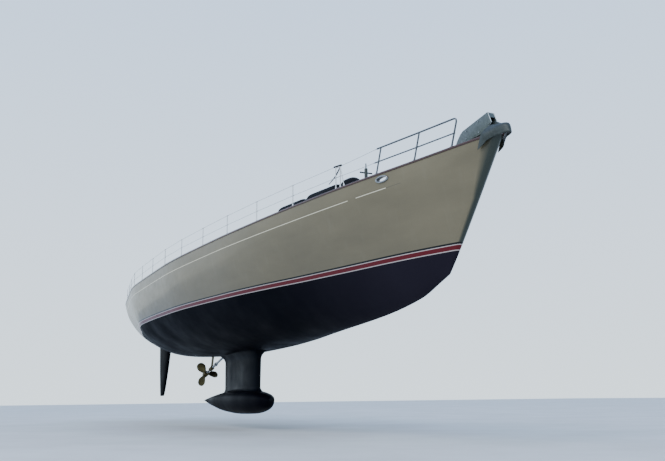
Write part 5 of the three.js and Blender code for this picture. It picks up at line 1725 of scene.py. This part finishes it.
def make_well():
    outline = [(x, well_half(x)) for x in (WELL_FRONT, WELL_NARROWS, WELL_BACK)]
    outline += [(x, -y) for x, y in reversed(outline)]
    walls = Shape()
    rings = []
    for inset, z in ((0.0, 1.95), (0.0, SOLE + 0.05), (0.012, SOLE + 0.018), (0.05, SOLE + 0.002)):
        ring = []
        for x, y in outline:
            ax = x - inset if x == WELL_FRONT else (x + inset if x == WELL_BACK else x)
            height = deck_height(x, y) - 0.002 if z > 1.9 else z
            ring.append((ax, copysign(abs(y) - inset, y), height))
        rings.append(ring)
    walls.rows(rings, across=True)
    walls.make("well_walls", white_paint, smooth=50)
    sole = Shape()
    rows = []
    for x in (WELL_FRONT - 0.05, WELL_NARROWS, WELL_BACK + 0.05):
        rows.append([(x, y, SOLE + 0.002) for y in spread(-well_half(x) + 0.05, well_half(x) - 0.05, 6)])
    sole.rows(rows)
    sole.make("well_sole", plain_teak)


make_saloon()
make_well()
print("liners in place")

# %% [markdown]
# The cockpit coaming
#
# A raised rim with round edges runs round the cockpit and carries the winches. Its profile has four corners
# that are eased like the cap rail's, and it follows the well's outline: two long legs that draw together
# aft, and a cross piece behind the wheels.

# %% Coaming and winch bases
COAMING_WIDE, COAMING_FRONT, COAMING_BACK = 0.33, -5.053, -11.95
COAMING_TOP = deck_height(WELL_BACK, WELL_HALF) + 0.33
WINCH_RADIUS, WINCH_SPINDLE, WINCH_FLANGE = 0.15, 0.045, 0.175
# x and body of the winch on each side
WINCHES = ((-9.0, "primary"), (-6.2, "secondary"))


def coaming_corners(inner, outer):
    """Outer lower, outer upper, inner upper, inner lower."""
    corners = []
    for (x, y), top in ((outer, False), (outer, True), (inner, True), (inner, False)):
        corners.append(Vector((x, y, COAMING_TOP if top else deck_height(x, y) - 0.01)))
    return corners


def winch_spot(x, side):
    """Middle of the coaming beside the well."""
    return Vector((x, side * (well_half(x) + COAMING_WIDE / 2 + 0.005), COAMING_TOP))


def make_coaming():
    legs = []
    xs = [COAMING_FRONT, COAMING_FRONT - 0.01] + spread(WELL_FRONT, WELL_NARROWS, 8)
    for x in xs + spread(-9.0, WELL_BACK + 0.02, 8):
        legs.append(((x, well_half(x)), (x, well_half(x) + COAMING_WIDE)))
    legs.append(((WELL_BACK, WELL_BACK_HALF), (COAMING_BACK, well_half(COAMING_BACK) + COAMING_WIDE)))
    across = [((WELL_BACK, y), (COAMING_BACK, y)) for y in (1.42, 1.0, 0.5, 0.0)]
    path = legs + across + [((a[0], -a[1]), (b[0], -b[1])) for a, b in reversed(legs + across[:-1])]
    rings = [eased_profile(coaming_corners(inner, outer), 0.05, 5) for inner, outer in path]
    shape = Shape().skin(rings)
    for x, _ in WINCHES:
        for side in (1, -1):
            r = WINCH_FLANGE
            shape.turned([(r, -0.006), (r, 0.018), (r - 0.01, 0.026), (r - 0.03, 0.03), (WINCH_SPINDLE, 0.03),
                          (WINCH_SPINDLE, 0.2), (0.01, 0.2)], winch_spot(x, side), 40)
    return shape.make("coaming_fine", white_paint, "cockpit_coaming")


def make_winch(x, kind, side, tag):
    spot = winch_spot(x, side) + UP * (0.03 + LID_GAP)
    r = WINCH_RADIUS
    shape = Shape()
    shape.turned([(0.047, 0.0), (r, 0.0), (r, 0.02), (r - 0.006, 0.035), (r * 0.8, 0.05), (r * 0.66, 0.075),
                  (r * 0.62, 0.11), (r * 0.62, 0.15), (r * 0.66, 0.18), (r * 0.8, 0.195), (r * 0.86, 0.2),
                  (r * 0.86, 0.206), (r * 0.7, 0.21), (r * 0.7, 0.222), (r * 0.86, 0.226),
                  (r * 0.86, 0.234), (r * 0.6, 0.243), (r * 0.3, 0.248), (r * 0.14, 0.248),
                  (r * 0.12, 0.236), (0.002, 0.235)], spot, 48)
    for turn in circle(16):
        ridge = ((0.64, 0.085), (0.625, 0.13), (0.64, 0.175))
        shape.tube([spot + heading(turn) * (r * out) + UP * z for out, z in ridge], 0.0042, 6)
    name = f"{kind}_winch_{tag}"
    shape.make(name + "_fine", steel, name, body=f"{kind}_{tag}", smooth=35)


make_coaming()
for place, kind in WINCHES:
    both_sides(lambda side, tag: make_winch(place, kind, side, tag))
print("coaming top", round(COAMING_TOP, 3))

# %% [markdown]
# Seats and table
#
# The seats are lockers: white fronts with steel catches and a top of teak boards. The table stands on a
# box, has a fixed middle and two leaves, and a low fiddle round its edge keeps plates from sliding.

# %% Settees and table
SEAT_FRONT, SEAT_BACK, SEAT_DEPTH, SEAT_HIGH = -5.6, -8.4, 0.56, 0.43
BOARDS, BOARD_STEP, BOARD_WIDE, BOARD_THICK = 7, 0.0795, 0.075, 0.034
SOLE_TOP = SOLE + 0.0025      # the boards of the sole lie under what stands on them
TABLE_X, TABLE_LONG, TABLE_WIDE, TABLE_HIGH, TABLE_TOP = -6.9, 1.7, 0.82, 0.72, 0.045


def make_settee(side, tag):
    inner, outer = WELL_HALF - SEAT_DEPTH, WELL_HALF - 0.001
    top = SOLE + SEAT_HIGH
    y0, y1 = sorted((side * inner, side * outer))
    locker = Shape().block((SEAT_BACK, y0, SOLE_TOP), (SEAT_FRONT, y1, top - 0.035), 0.012, 3)
    locker.make("settee_locker_" + tag, white_paint)
    boards = Shape()
    for k in range(BOARDS):
        edge = inner + 0.003 + k * BOARD_STEP
        y0, y1 = sorted((side * edge, side * (edge + BOARD_WIDE)))
        boards.block((SEAT_BACK + 0.002, y0, top - BOARD_THICK), (SEAT_FRONT - 0.002, y1, top), 0.006, 2)
    boards.make("settee_boards_" + tag, plain_teak, "settee_" + tag)
    catches = Shape()
    for x in (-6.2, -7.0, -7.8):
        catches.turned(mm((3, 0), (28, 0), (28, 4), (20, 6), (3, 6)),
                       (x, side * inner, SOLE + 0.3), 20, (0, -side, 0))
    catches.make("settee_catches_" + tag, steel, smooth=35)


def make_table():
    shape = Shape()
    shape.block((TABLE_X - 0.5, -0.14, SOLE_TOP), (TABLE_X + 0.5, 0.14, SOLE + TABLE_HIGH), 0.02, 3)
    low, top = SOLE + TABLE_HIGH - 0.001, SOLE + TABLE_HIGH + TABLE_TOP
    half, long = TABLE_WIDE / 2, TABLE_LONG / 2
    for y0, y1 in ((-half, -0.152), (-0.148, 0.148), (0.152, half)):
        shape.block((TABLE_X - long, y0, low), (TABLE_X + long, y1, top - 0.012), 0.008, 2)
    inner = half - 0.08
    for x0, x1, y0, y1 in ((-long, long, half - 0.02, half), (-long, long, -half, -half + 0.02),
                           (-long, -long + 0.02, -inner, inner), (long - 0.02, long, -inner, inner)):
        shape.block((TABLE_X + x0, y0, top - 0.014), (TABLE_X + x1, y1, top), 0.004, 2)
    return shape.make("table_fine", cabin_wood, "cockpit_table", slot="teak")


both_sides(make_settee)
make_table()
print("seats and table")

# %% [markdown]
# Wheels and pedestals
#
# Each helm has a tapered pedestal with a compass in its head and a wheel behind it. The wheel's rim is a
# steel tube sewn into leather, with six spokes and a boss. Spokes and rim are one body, the pedestal stays
# with the boat.

# %% Helm
HELM_X, HELM_Y, WHEEL_RADIUS, WHEEL_RIM, AXLE_HIGH, PEDESTAL = -9.9, 0.96, 0.56, 0.017, 0.9, 0.26
PEDESTAL_HIGH = AXLE_HIGH + 0.16
# share of the height, size
PEDESTAL_TAPER = ((0, 1.0), (0.02, 0.98), (0.25, 0.9), (0.5, 0.85), (0.7, 0.8), (0.9, 0.765), (0.975, 0.755),
                  (0.99, 0.74), (1.0, 0.69))
WHEEL_X = HELM_X - 0.2
leather = rubber_finish("leather", (52, 50, 50), 0.6)


def make_helm(side, tag):
    y, axle = side * HELM_Y, SOLE + AXLE_HIGH
    rings = []
    for share, size in PEDESTAL_TAPER:
        z = SOLE_TOP + share * PEDESTAL_HIGH
        a, b = PEDESTAL * size * 0.5, PEDESTAL * size * 0.6
        rings.append(rounded_rectangle(HELM_X - a, HELM_X + a, y - b, y + b, 0.05 * size, z, 5))
    stand = Shape().skin(rings)
    stand.turned(mm((22, -230), (22, -60)), (HELM_X, y, axle), 20, (1, 0, 0))
    stand.make("pedestal_fine_" + tag, white_paint, "pedestal_" + tag)
    compass = Shape()
    top = SOLE_TOP + PEDESTAL_HIGH
    compass.turned(mm((72, -4), (72, 4), (66, 9), (50, 9.5), (2, 9.5)), (HELM_X, y, top), 32)
    compass.make("compass_" + tag, hatch_pane, smooth=30)
    lever = Shape()
    lever.tube([(HELM_X, y + 0.11, axle + 0.02), (HELM_X, y + 0.135, axle + 0.02)], 0.02, 16)
    lever.tube([(HELM_X, y + 0.13, axle + 0.02), (HELM_X + 0.03, y + 0.132, axle + 0.13)], 0.006, 8)
    lever.make("lever_" + tag, steel)
    centre = Vector((WHEEL_X, y, axle))
    rings = []
    for turn in circle(72):
        out = Vector((0, cos(turn), sin(turn)))
        rings.append([centre + Vector((WHEEL_RIM * sin(t), 0, 0)) + out * (WHEEL_RADIUS + WHEEL_RIM * cos(t))
                      for t in circle(12)])
    rim = Shape().rows(rings, across=True, along=True)
    rim.make("wheel_rim_" + tag, leather, body=tag + "_wheel", smooth=60)
    wheel = Shape()
    wheel.turned(mm((23.5, -32), (46, -32), (52, -26), (52, 20), (42, 32), (23.5, 32)), centre, 32, (1, 0, 0))
    for turn in circle(6):
        out = Vector((0, cos(turn), sin(turn)))
        wheel.tube([centre + out * 0.045, centre + out * (WHEEL_RADIUS - 0.012)], 0.011, 12, end=0.009)
    wheel.make("wheel_fine_" + tag, steel, "wheel_" + tag, body=tag + "_wheel")


both_sides(make_helm)
print("wheels at", WHEEL_X)

# %% [markdown]
# Stanchions and wires
#
# Guard wires run along both sides through white stanchions. Each stanchion stands in a socket on the cap
# rail, and its top is a round cap with the upper wire through it. A gate near the bow has a braced post,
# and its wires come off with hooks held by short black lashings.

# %% Rail posts
POST_FIRST, POST_PITCH, POST_COUNT, POST_HIGH, POST_RADIUS, POST_INSET = 11.85, 1.82, 14, 0.6, 0.015, 0.045
SPANS = (("fore", 0, 4), ("middle", 5, 9), ("aft", 10, 13))
GATE_POST, GATE_BRACE, GATE_HIGH = 12.02, 12.16, 0.56
PULPIT_FEET, PULPIT_RAKE = (15.45, 14.4, 13.25), 0.26
PULPIT_HIGH, PULPIT_MIDDLE, PULPIT_TAIL = 0.6, 0.29, 0.11
PUSHPIT_FEET, PUSHPIT_HIGH, PUSHPIT_MIDDLE, TUBE_RADIUS = (-13.9, -15.1, -16.25), 0.64, 0.33, 0.02
HOOP_X = TRANSOM_X + 0.06
RAIL_INSET = 0.05
WIRE_LIFTS = (0.5 * POST_HIGH, 0.985 * POST_HIGH)
WIRE_THICK, WIRE_SAG = 0.0084, 0.003
rail_white = metal_finish("rail_white", (206, 206, 204), 0.3, 0.08, 0.25)
rail_steel = metal_finish("rail_steel", (96, 100, 102), 0.3, 0.08, 0.85)
rope_black = rubber_finish("rope_black", (20, 20, 22), 0.85, 0.002)
wire_steel = metal_finish("wire_steel", (122, 124, 126), 0.36, 0.08, 0.9)


def pulpit_head(x, side, lift):
    foot = on_rail(x, side, RAIL_INSET, lift)
    return Vector((x + PULPIT_RAKE * lift / PULPIT_HIGH, foot.y, foot.z))


def pulpit_tail(side, lift):
    x = pulpit_head(PULPIT_FEET[2], side, lift).x
    end = on_rail(PULPIT_FEET[2] - PULPIT_TAIL, side, RAIL_INSET, lift)
    return Vector((x - PULPIT_TAIL, end.y, end.z))


def socket(shape, foot, up):
    shape.turned(mm((42, -1), (42, 6), (34, 10), (24, 14), (22, 50), (19, 60)), foot, 16, up)


def make_lifelines(side, tag, span, first, last):
    posts = Shape()
    xs = [POST_FIRST - POST_PITCH * i for i in range(first, last + 1)]
    for x in xs:
        foot = on_rail(x, side, POST_INSET)
        socket(posts, foot, UP)
        posts.tube([foot, foot + UP * (POST_HIGH - 0.012)], POST_RADIUS * 0.93, 14)
        posts.turned(mm((12, -20), (16.5, -14), (16.5, -2), (12, 4), (3, 7)),
                     foot + UP * (POST_HIGH - 0.006), 14)
        for lift in WIRE_LIFTS:
            posts.turned(mm((16, -10), (18, -6), (18, 6), (16, 10)), foot + UP * lift, 12)
    if span == "fore":
        foot, brace = on_rail(GATE_POST, side, POST_INSET), on_rail(GATE_BRACE, side, POST_INSET)
        head = foot + UP * GATE_HIGH
        socket(posts, foot, UP)
        socket(posts, brace, head - brace)
        posts.tube([foot, head], POST_RADIUS * 0.93, 14)
        posts.tube([brace, head], POST_RADIUS * 0.8, 14)
        posts.tube(rounded_path([on_rail(xs[0], side, POST_INSET, GATE_HIGH), head], 0.02),
                   POST_RADIUS * 0.85, 12)
    posts.make(f"posts_{tag}_{span}", rail_white, f"lifelines_{tag}_{span}")
    wires = Shape()
    if span == "aft":
        after = on_rail(PUSHPIT_FEET[0], side, RAIL_INSET)
    else:
        after = on_rail(POST_FIRST - POST_PITCH * (last + 1), side, POST_INSET)
    for k, lift in enumerate(WIRE_LIFTS):
        path = []
        if span == "fore":
            path.append(pulpit_tail(side, PULPIT_HIGH if k else PULPIT_MIDDLE))
            path.append(on_rail(GATE_POST, side, POST_INSET, lift if k == 0 else GATE_HIGH))
        path += [on_rail(x, side, POST_INSET, lift) for x in xs]
        path.append(after + UP * lift)
        for a, b in zip(path, path[1:]):
            along = (b - a).normalized()
            wires.tube([a, a + (b - a) * 0.5 - UP * WIRE_SAG, b], WIRE_THICK / 2, 8)
            for end, way in ((a, 1), (b, -1)):
                start = end + along * way * 0.018
                wires.tube([start, start + along * way * 0.075], 0.0078, 8, end=0.0052)
    wires.make(f"wires_{tag}_{span}", wire_steel, smooth=50)


def make_lashings(side, tag):
    """A black cover over the gate's head, and the lines that hold its hooks."""
    shape = Shape()
    head = on_rail(GATE_POST, side, POST_INSET, GATE_HIGH + 0.02)
    back = on_rail(POST_FIRST, side, POST_INSET, POST_HIGH - 0.005)
    cover = [head + (head - back) * 0.25, head, (head + back) / 2, back, back + (back - head) * 0.35]
    shape.tube(cover, 0.028, 10, end=0.022)
    for lift, drop in ((GATE_HIGH, 0.34), (GATE_HIGH - 0.02, 0.27)):
        start = on_rail(GATE_POST, side, POST_INSET, lift)
        end = on_rail(GATE_POST - drop * 1.4, side, POST_INSET + 0.03, lift - drop)
        middle = (start + end) / 2 - UP * 0.05
        shape.tube([start, (start + middle) / 2 - UP * 0.012, middle, (middle + end) / 2, end], 0.011, 8)
    shape.make("gate_lashings_" + tag, rope_black, smooth=50)


for tag_name, first_post, last_post in SPANS:
    both_sides(lambda side, tag: make_lifelines(side, tag, tag_name, first_post, last_post))
both_sides(make_lashings)
print("posts", POST_COUNT, "a side")

# %% [markdown]
# Pulpits and pushpit
#
# The bow has two separate half pulpits, with room for the anchor arm between them. They are bent from one
# tube each, raked forward, with a middle rail welded in. The pushpit closes the stern in one loop. At every
# corner the tube is bent on a radius, so the paths here get round corners before they are skinned.

# %% Bow and stern rails
def make_pulpit(side, tag):
    shape = Shape()
    heads = [pulpit_head(x, side, PULPIT_HIGH) for x in PULPIT_FEET]
    middles = [pulpit_head(x, side, PULPIT_MIDDLE) for x in PULPIT_FEET]
    feet = [on_rail(x, side, RAIL_INSET) for x in PULPIT_FEET]
    main = rounded_path([feet[0], *heads, pulpit_tail(side, PULPIT_HIGH)], 0.11, 8)
    shape.tube(main, TUBE_RADIUS, 20)
    low = rounded_path([*middles, pulpit_tail(side, PULPIT_MIDDLE)], 0.05, 5)
    shape.tube(low, TUBE_RADIUS * 0.8, 14)
    for foot, head in list(zip(feet, heads))[1:]:
        shape.tube([foot, head - (head - foot).normalized() * 0.012], TUBE_RADIUS * 0.95, 16)
    for foot, head in zip(feet, heads):
        along = (head - foot).normalized()
        shape.turned(mm((52, -2), (52, 6), (44, 10), (30, 13), (26, 40), (21, 46)), foot, 20, along)
    for foot, middle, head in zip(feet[:2], middles, heads):
        shape.turned(mm((21, -18), (24, -12), (24, 12), (21, 18)), middle, 16, head - foot)
    for lift, size in ((PULPIT_HIGH, 1.0), (PULPIT_MIDDLE, 0.8)):
        r = TUBE_RADIUS * size
        shape.turned([(r, 0.0), (r * 1.12, 0.003), (r * 1.12, 0.02), (r * 0.7, 0.027)],
                     pulpit_tail(side, lift) + Vector((0.012, 0, 0)), 14, (-1, 0, 0))
    return shape.make("pulpit_fine_" + tag, rail_steel, "pulpit_" + tag, smooth=50)


def make_pushpit():
    shape = Shape()

    def hoop(lift):
        port = [on_rail(x, 1, RAIL_INSET, lift) for x in PUSHPIT_FEET]
        port.append(Vector((HOOP_X, rail_half(TRANSOM_X) - 0.25, rail_height(TRANSOM_X) + lift)))
        return port + mirrored(port)

    shape.tube(rounded_path(hoop(PUSHPIT_HIGH), 0.14, 8), TUBE_RADIUS, 18)
    shape.tube(rounded_path(hoop(PUSHPIT_MIDDLE), 0.14, 8), TUBE_RADIUS * 0.8, 14)
    feet = [on_rail(x, side, RAIL_INSET) for x in PUSHPIT_FEET for side in (1, -1)]
    feet += [Vector((HOOP_X, side * 0.9, rail_height(TRANSOM_X))) for side in (1, -1)]
    for foot in feet:
        shape.tube([foot, foot + UP * (PUSHPIT_HIGH - 0.006)], TUBE_RADIUS * 0.95, 16)
        shape.turned(mm((50, -2), (50, 6), (43, 10), (30, 13), (26, 40), (21, 46)), foot, 20)
    return shape.make("pushpit_fine", rail_steel, "pushpit", smooth=50)


both_sides(make_pulpit)
make_pushpit()
print("rails closed")

# %% [markdown]
# The arm over the stem
#
# The anchor hangs in a steel arm that stands on the foredeck and reaches out past the stem. It is a box
# welded from plates, open at its front. A light metal rim along the mouth's edges is a painted highlight,
# and dark linings inside the mouth are painted shade. Two cheeks below it carry the chain's roller.

# %% Anchor arm and roller
ARM_PROFILE = ((14.900, 1.840), (15.110, 2.330), (15.200, 2.440), (15.330, 2.555), (15.430, 2.600),
               (16.320, 2.720), (16.430, 2.465), (16.170, 2.318), (15.480, 2.318), (15.330, 1.840))
ARM_HALF, POCKET_HALF, POCKET_BACK, POCKET_LOW, POCKET_TOP = 0.095, 0.062, 15.75, 2.372, 2.600
# places along the boat and heights of the bolts on each cheek
ARM_BOLTS = ((15.05, 1.98), (15.2, 1.98), (15.3, 2.2), (15.55, 2.38), (15.55, 2.55), (16.0, 2.38),
             (16.0, 2.62))
ROLLER_BACK, ROLLER_FRONT, ROLLER_HALF, ROLLER_SLOT = 16.05, 16.58, 0.085, 0.04
ROLLER_LOW, ROLLER_TOP = 2.2103, 2.285
RIM_RADIUS = 0.009
# The light metal of the rim round the arm's mouth is a painted highlight.
rim_highlight_metal = metal_finish("rim_highlight_metal", (176, 180, 176), 0.3, 0.08, 0.8, "grey_metal")
# The dark lining of the arm's pocket is painted shade.
painted_pocket_shade = rubber_finish("painted_pocket_shade", (16, 17, 16), 0.8, slot="grey_metal")


def offset_profile(profile, inset):
    """The same outline drawn inwards by an inset."""
    points = [Vector((x, z)) for x, z in profile]
    centre = sum(points, Vector((0, 0))) / len(points)
    result = []
    for k, point in enumerate(points):
        before = (point - points[k - 1]).normalized()
        after = (points[(k + 1) % len(points)] - point).normalized()
        normal = Vector((before.y + after.y, -before.x - after.x)).normalized()
        if (centre - point).dot(normal) < 0:
            normal = -normal
        result.append(tuple(point + normal * inset))
    return result


def slab(shape, profile, half, edge):
    """A plate with the profile as its outline; each edge is a pair of distance in from the face and inset."""
    sides = [(-half + depth, inset) for depth, inset in edge]
    sides += [(half - depth, inset) for depth, inset in edge[::-1]]
    return shape.skin([[(x, y, z) for x, z in offset_profile(profile, inset)] for y, inset in sides])


def make_arm():
    body = slab(Shape(), ARM_PROFILE, ARM_HALF, ((0.0, 0.006), (0.002, 0.002), (0.006, 0.0)))
    pocket = Shape().block((POCKET_BACK, -POCKET_HALF, POCKET_LOW), (16.7, POCKET_HALF, POCKET_TOP))
    shape = saw(body, [pocket])
    return shape.make("arm", bow_metal, "anchor_arm", smooth=30)


def make_arm_trim():
    # The light rim along the mouth's edges is a painted highlight.
    rim = Shape()
    top_front, low_front, low_back = (Vector((x, 0, z)) for x, z in ARM_PROFILE[5:8])
    middle = (ARM_HALF + POCKET_HALF) / 2
    for y in (middle, -middle):
        path = [low_back + Vector((0, y, 0)), low_front + Vector((0.002, y, 0)),
                top_front + Vector((0.002, y, 0))]
        rim.tube(rounded_path(path, 0.02, 4), RIM_RADIUS, 10)
    rim.tube([top_front + Vector((0.0, y, -0.006)) for y in (-middle, middle)], RIM_RADIUS, 10)
    rim.make("arm_highlight_rim", rim_highlight_metal, smooth=50)
    # Dark plates lining the pocket are painted shade.
    dark = Shape().block((POCKET_BACK + 0.002, -POCKET_HALF + 0.001, POCKET_LOW + 0.001),
                         (POCKET_BACK + 0.006, POCKET_HALF - 0.001, POCKET_TOP - 0.001))
    for side in (1, -1):
        y0, y1 = sorted((side * (POCKET_HALF - 0.003), side * (POCKET_HALF - 0.0005)))
        dark.block((POCKET_BACK + 0.006, y0, POCKET_LOW + 0.001), (16.2, y1, POCKET_TOP - 0.001))
    dark.block((POCKET_BACK + 0.006, -POCKET_HALF + 0.003, POCKET_TOP - 0.004),
               (16.25, POCKET_HALF - 0.003, POCKET_TOP - 0.0005))
    dark.make("arm_pocket_shade", painted_pocket_shade)
    bolts = Shape()
    for side in (1, -1):
        for x, z in ARM_BOLTS:
            bolts.turned(mm((15, -1), (15, 6), (6, 8.5)), (x, side * ARM_HALF, z), 6, (0, side, 0))
    bolts.make("arm_bolts", dull_steel, smooth=30)


def make_roller():
    shape = Shape()
    for side in (1, -1):
        y0, y1 = sorted((side * ROLLER_SLOT, side * ROLLER_HALF))
        shape.block((ROLLER_BACK, y0, ROLLER_LOW), (ROLLER_FRONT, y1, ROLLER_TOP), 0.008, 3)
    shape.block((ROLLER_BACK, -ROLLER_HALF + 0.002, ROLLER_LOW + 0.0005),
                (ROLLER_FRONT - 0.004, ROLLER_HALF - 0.002, ROLLER_LOW + 0.03), 0.003, 2)
    shape.block((ROLLER_BACK, -ROLLER_SLOT - 0.002, ROLLER_LOW + 0.02),
                (ROLLER_BACK + 0.06, ROLLER_SLOT + 0.002, ROLLER_TOP), 0.004, 2)
    shape.make("roller_cheeks", bow_metal, "bow_roller", smooth=35)
    pin = Shape()
    end = ROLLER_HALF + 0.006
    pin.turned([(0.008, -end), (0.012, -end + 0.002), (0.012, end - 0.002), (0.008, end)],
               (16.5, 0, 2.262), 16, (0, 1, 0))
    pin.make("roller_pin", dull_steel, smooth=35)


make_arm()
make_arm_trim()
make_roller()
print("arm reaches", max(x for x, _ in ARM_PROFILE))

# %% [markdown]
# The anchor
#
# A claw anchor is stowed with its shank in the arm and its palm against the stem. Its palm is one thick
# casting bent round like a hand: broad flukes on both sides and a rounded crown in front. Rows of three
# points say where the outside runs from root to lip, and a smooth curve through the rows rounds the casting
# off.

# %% Claw and shank
# root, knee and lip from the tip to the nose, and thickness
CLAW = (((16.165, 0.262, 1.965), (16.160, 0.262, 1.945), (16.155, 0.260, 1.925), 0.010),
        ((16.260, 0.270, 2.140), (16.300, 0.270, 2.070), (16.340, 0.258, 1.990), 0.022),
        ((16.330, 0.262, 2.250), (16.410, 0.256, 2.160), (16.440, 0.224, 2.060), 0.022),
        ((16.440, 0.140, 2.375), (16.610, 0.160, 2.250), (16.620, 0.145, 2.110), 0.026),
        ((16.560, 0.075, 2.375), (16.800, 0.085, 2.300), (16.850, 0.080, 2.110), 0.030),
        ((16.620, 0.000, 2.375), (16.870, 0.000, 2.315), (16.945, 0.000, 2.115), 0.032))
CLAW_CENTRE = Vector((16.300, 0, 2.080))
SHANK = ((15.900, 2.3723), (15.900, 2.480), (16.470, 2.480), (16.650, 2.380), (16.880, 2.290),
         (16.930, 2.150), (16.870, 2.150), (16.800, 2.230), (16.600, 2.315), (16.440, 2.3723))
SHANK_THICK = 0.056
anchor_metal = metal_finish("anchor_metal", (52, 58, 55), 0.45, 0.1, 0.4, "grey_metal")


def through(points, steps):
    """A smooth line through points."""
    points = [Vector(p) for p in points]
    line = []
    for k in range(len(points) - 1):
        p0, p1, p2, p3 = points[max(k - 1, 0)], points[k], points[k + 1], points[min(k + 2, len(points) - 1)]
        for t in spread(0, 1, steps)[:-1]:
            square, cube = 2 * p0 - 5 * p1 + 4 * p2 - p3, 3 * p1 - p0 - 3 * p2 + p3
            line.append(0.5 * (2 * p1 + (p2 - p0) * t + square * t * t + cube * t ** 3))
    return line + [points[-1]]


def make_anchor():
    lines = []
    for k in range(3):
        port = [row[k] for row in CLAW]
        lines.append(through(port + mirrored(port[:-1]), 6))
    thick = [row[3] for row in CLAW + CLAW[-2::-1]]
    widths = [w.x for w in through([(t, 0, 0) for t in thick], 6)]
    rings = []
    for root, knee, lip, width in zip(*lines, widths):
        outer = through([root, knee, lip], 5)
        inner = [p + (CLAW_CENTRE - p).normalized() * width for p in outer]
        edge = (outer[-1] + inner[-1]) / 2 + (lip - knee).normalized() * width * 0.3
        crest = (outer[0] + inner[0]) / 2 + (root - knee).normalized() * width * 0.2
        rings.append(outer + [edge] + inner[::-1] + [crest])
    claw = Shape().skin(rings)
    slab(claw, SHANK, SHANK_THICK / 2, ((0.0, 0.005), (0.005, 0.0)))
    return claw.make("anchor_fine", anchor_metal, "anchor", smooth=45)


make_anchor()
print("anchor nose at", CLAW[-1][2][0])

# %% [markdown]
# Fenders on the foredeck
#
# Three fenders lie on the starboard side deck in black knitted covers. A cover is a sleeve drawn together
# at the ends, so it has fine ribs along its length, gathers at each end and a round rubber end piece.

# %% Fenders
# share of the blunt end, share of the radius
FENDER_END = ((0, 0.12), (0.02, 0.3), (0.1, 0.5), (0.25, 0.72), (0.42, 0.86), (0.6, 0.94), (0.8, 0.985),
              (1, 1))
# name, ends along the boat, radius, how far out and down it settles
FENDERS = (("fender_round", 12.24, 11.70, 0.285, 0.0058, 0.0),
           ("fender_long", 11.64, 10.28, 0.275, 0.0, 0.0094),
           ("fender_short", 10.22, 8.97, 0.255, 0.0, 0.0118))


def knitted_finish():
    knit = Finish("knitted_cover", (12, 13, 16), 0.9, "black_cover")
    dust = knit.noise(knit.place(), 7.0, 5.0, 0.6)
    fine = knit.noise(knit.place((1.0, 3.0, 3.0)), 130.0, 3.0, 0.6)
    body = knit.mix(knit.ramp(dust, 0.4, 0.7), (9, 10, 13), (22, 24, 29))
    knit.set("Specular IOR Level", 0.15)
    knit.set("Base Color", knit.mix(knit.ramp(fine, 0.45, 0.7, 0.0, 0.5), body, (36, 38, 43)))
    knit.bump(fine, 0.003, 0.8)
    return knit


knitted = knitted_finish()


def make_fender(name, front, back, radius, out, down):
    def end(x):
        section = Section(x)
        y = deck_half(section) - radius - 0.02
        return Vector((x, -y - out, deck_height(x, y - radius) + radius + 0.0003 - down))

    a, b = end(front), end(back)
    lift = max(0, deck_height(front) - deck_height(front, a.y)) * 0.2
    a.z, b.z = a.z + lift, b.z + lift
    along = b - a
    turn = Vector((1, 0, 0)).rotation_difference(along.normalized())
    blunt = min(0.45, radius * 0.75 / along.length)
    shape = Shape()
    rings = []
    places = [(s * blunt, r) for s, r in FENDER_END]
    places += [(k, 1) for k in (0.3, 0.4, 0.5, 0.6, 0.7) if blunt < k < 1 - blunt]
    places += [(1 - s * blunt, r) for s, r in reversed(FENDER_END)]
    for share, size in places:
        ring = []
        for k, t in enumerate(circle(64)):
            gather = 1 - 0.012 * (k % 2) * (1.5 if size < 0.8 else 1)
            spot = Vector((0, cos(t), sin(t))) * (radius * size * gather)
            spot.rotate(turn)
            ring.append(a + along * share + spot)
        rings.append(ring)
    shape.skin(rings)
    shape.make(name + "_cover", knitted, name, smooth=60)
    ends = Shape()
    for place, outward in ((a, -along.normalized()), (b, along.normalized())):
        ends.turned(mm((50, 0), (46, 20), (30, 30), (12, 32)), place - outward * 0.012, 20, outward)
    ends.make(name + "_ends", black_rubber)


for fender in FENDERS:
    make_fender(*fender)
print("fenders", len(FENDERS))
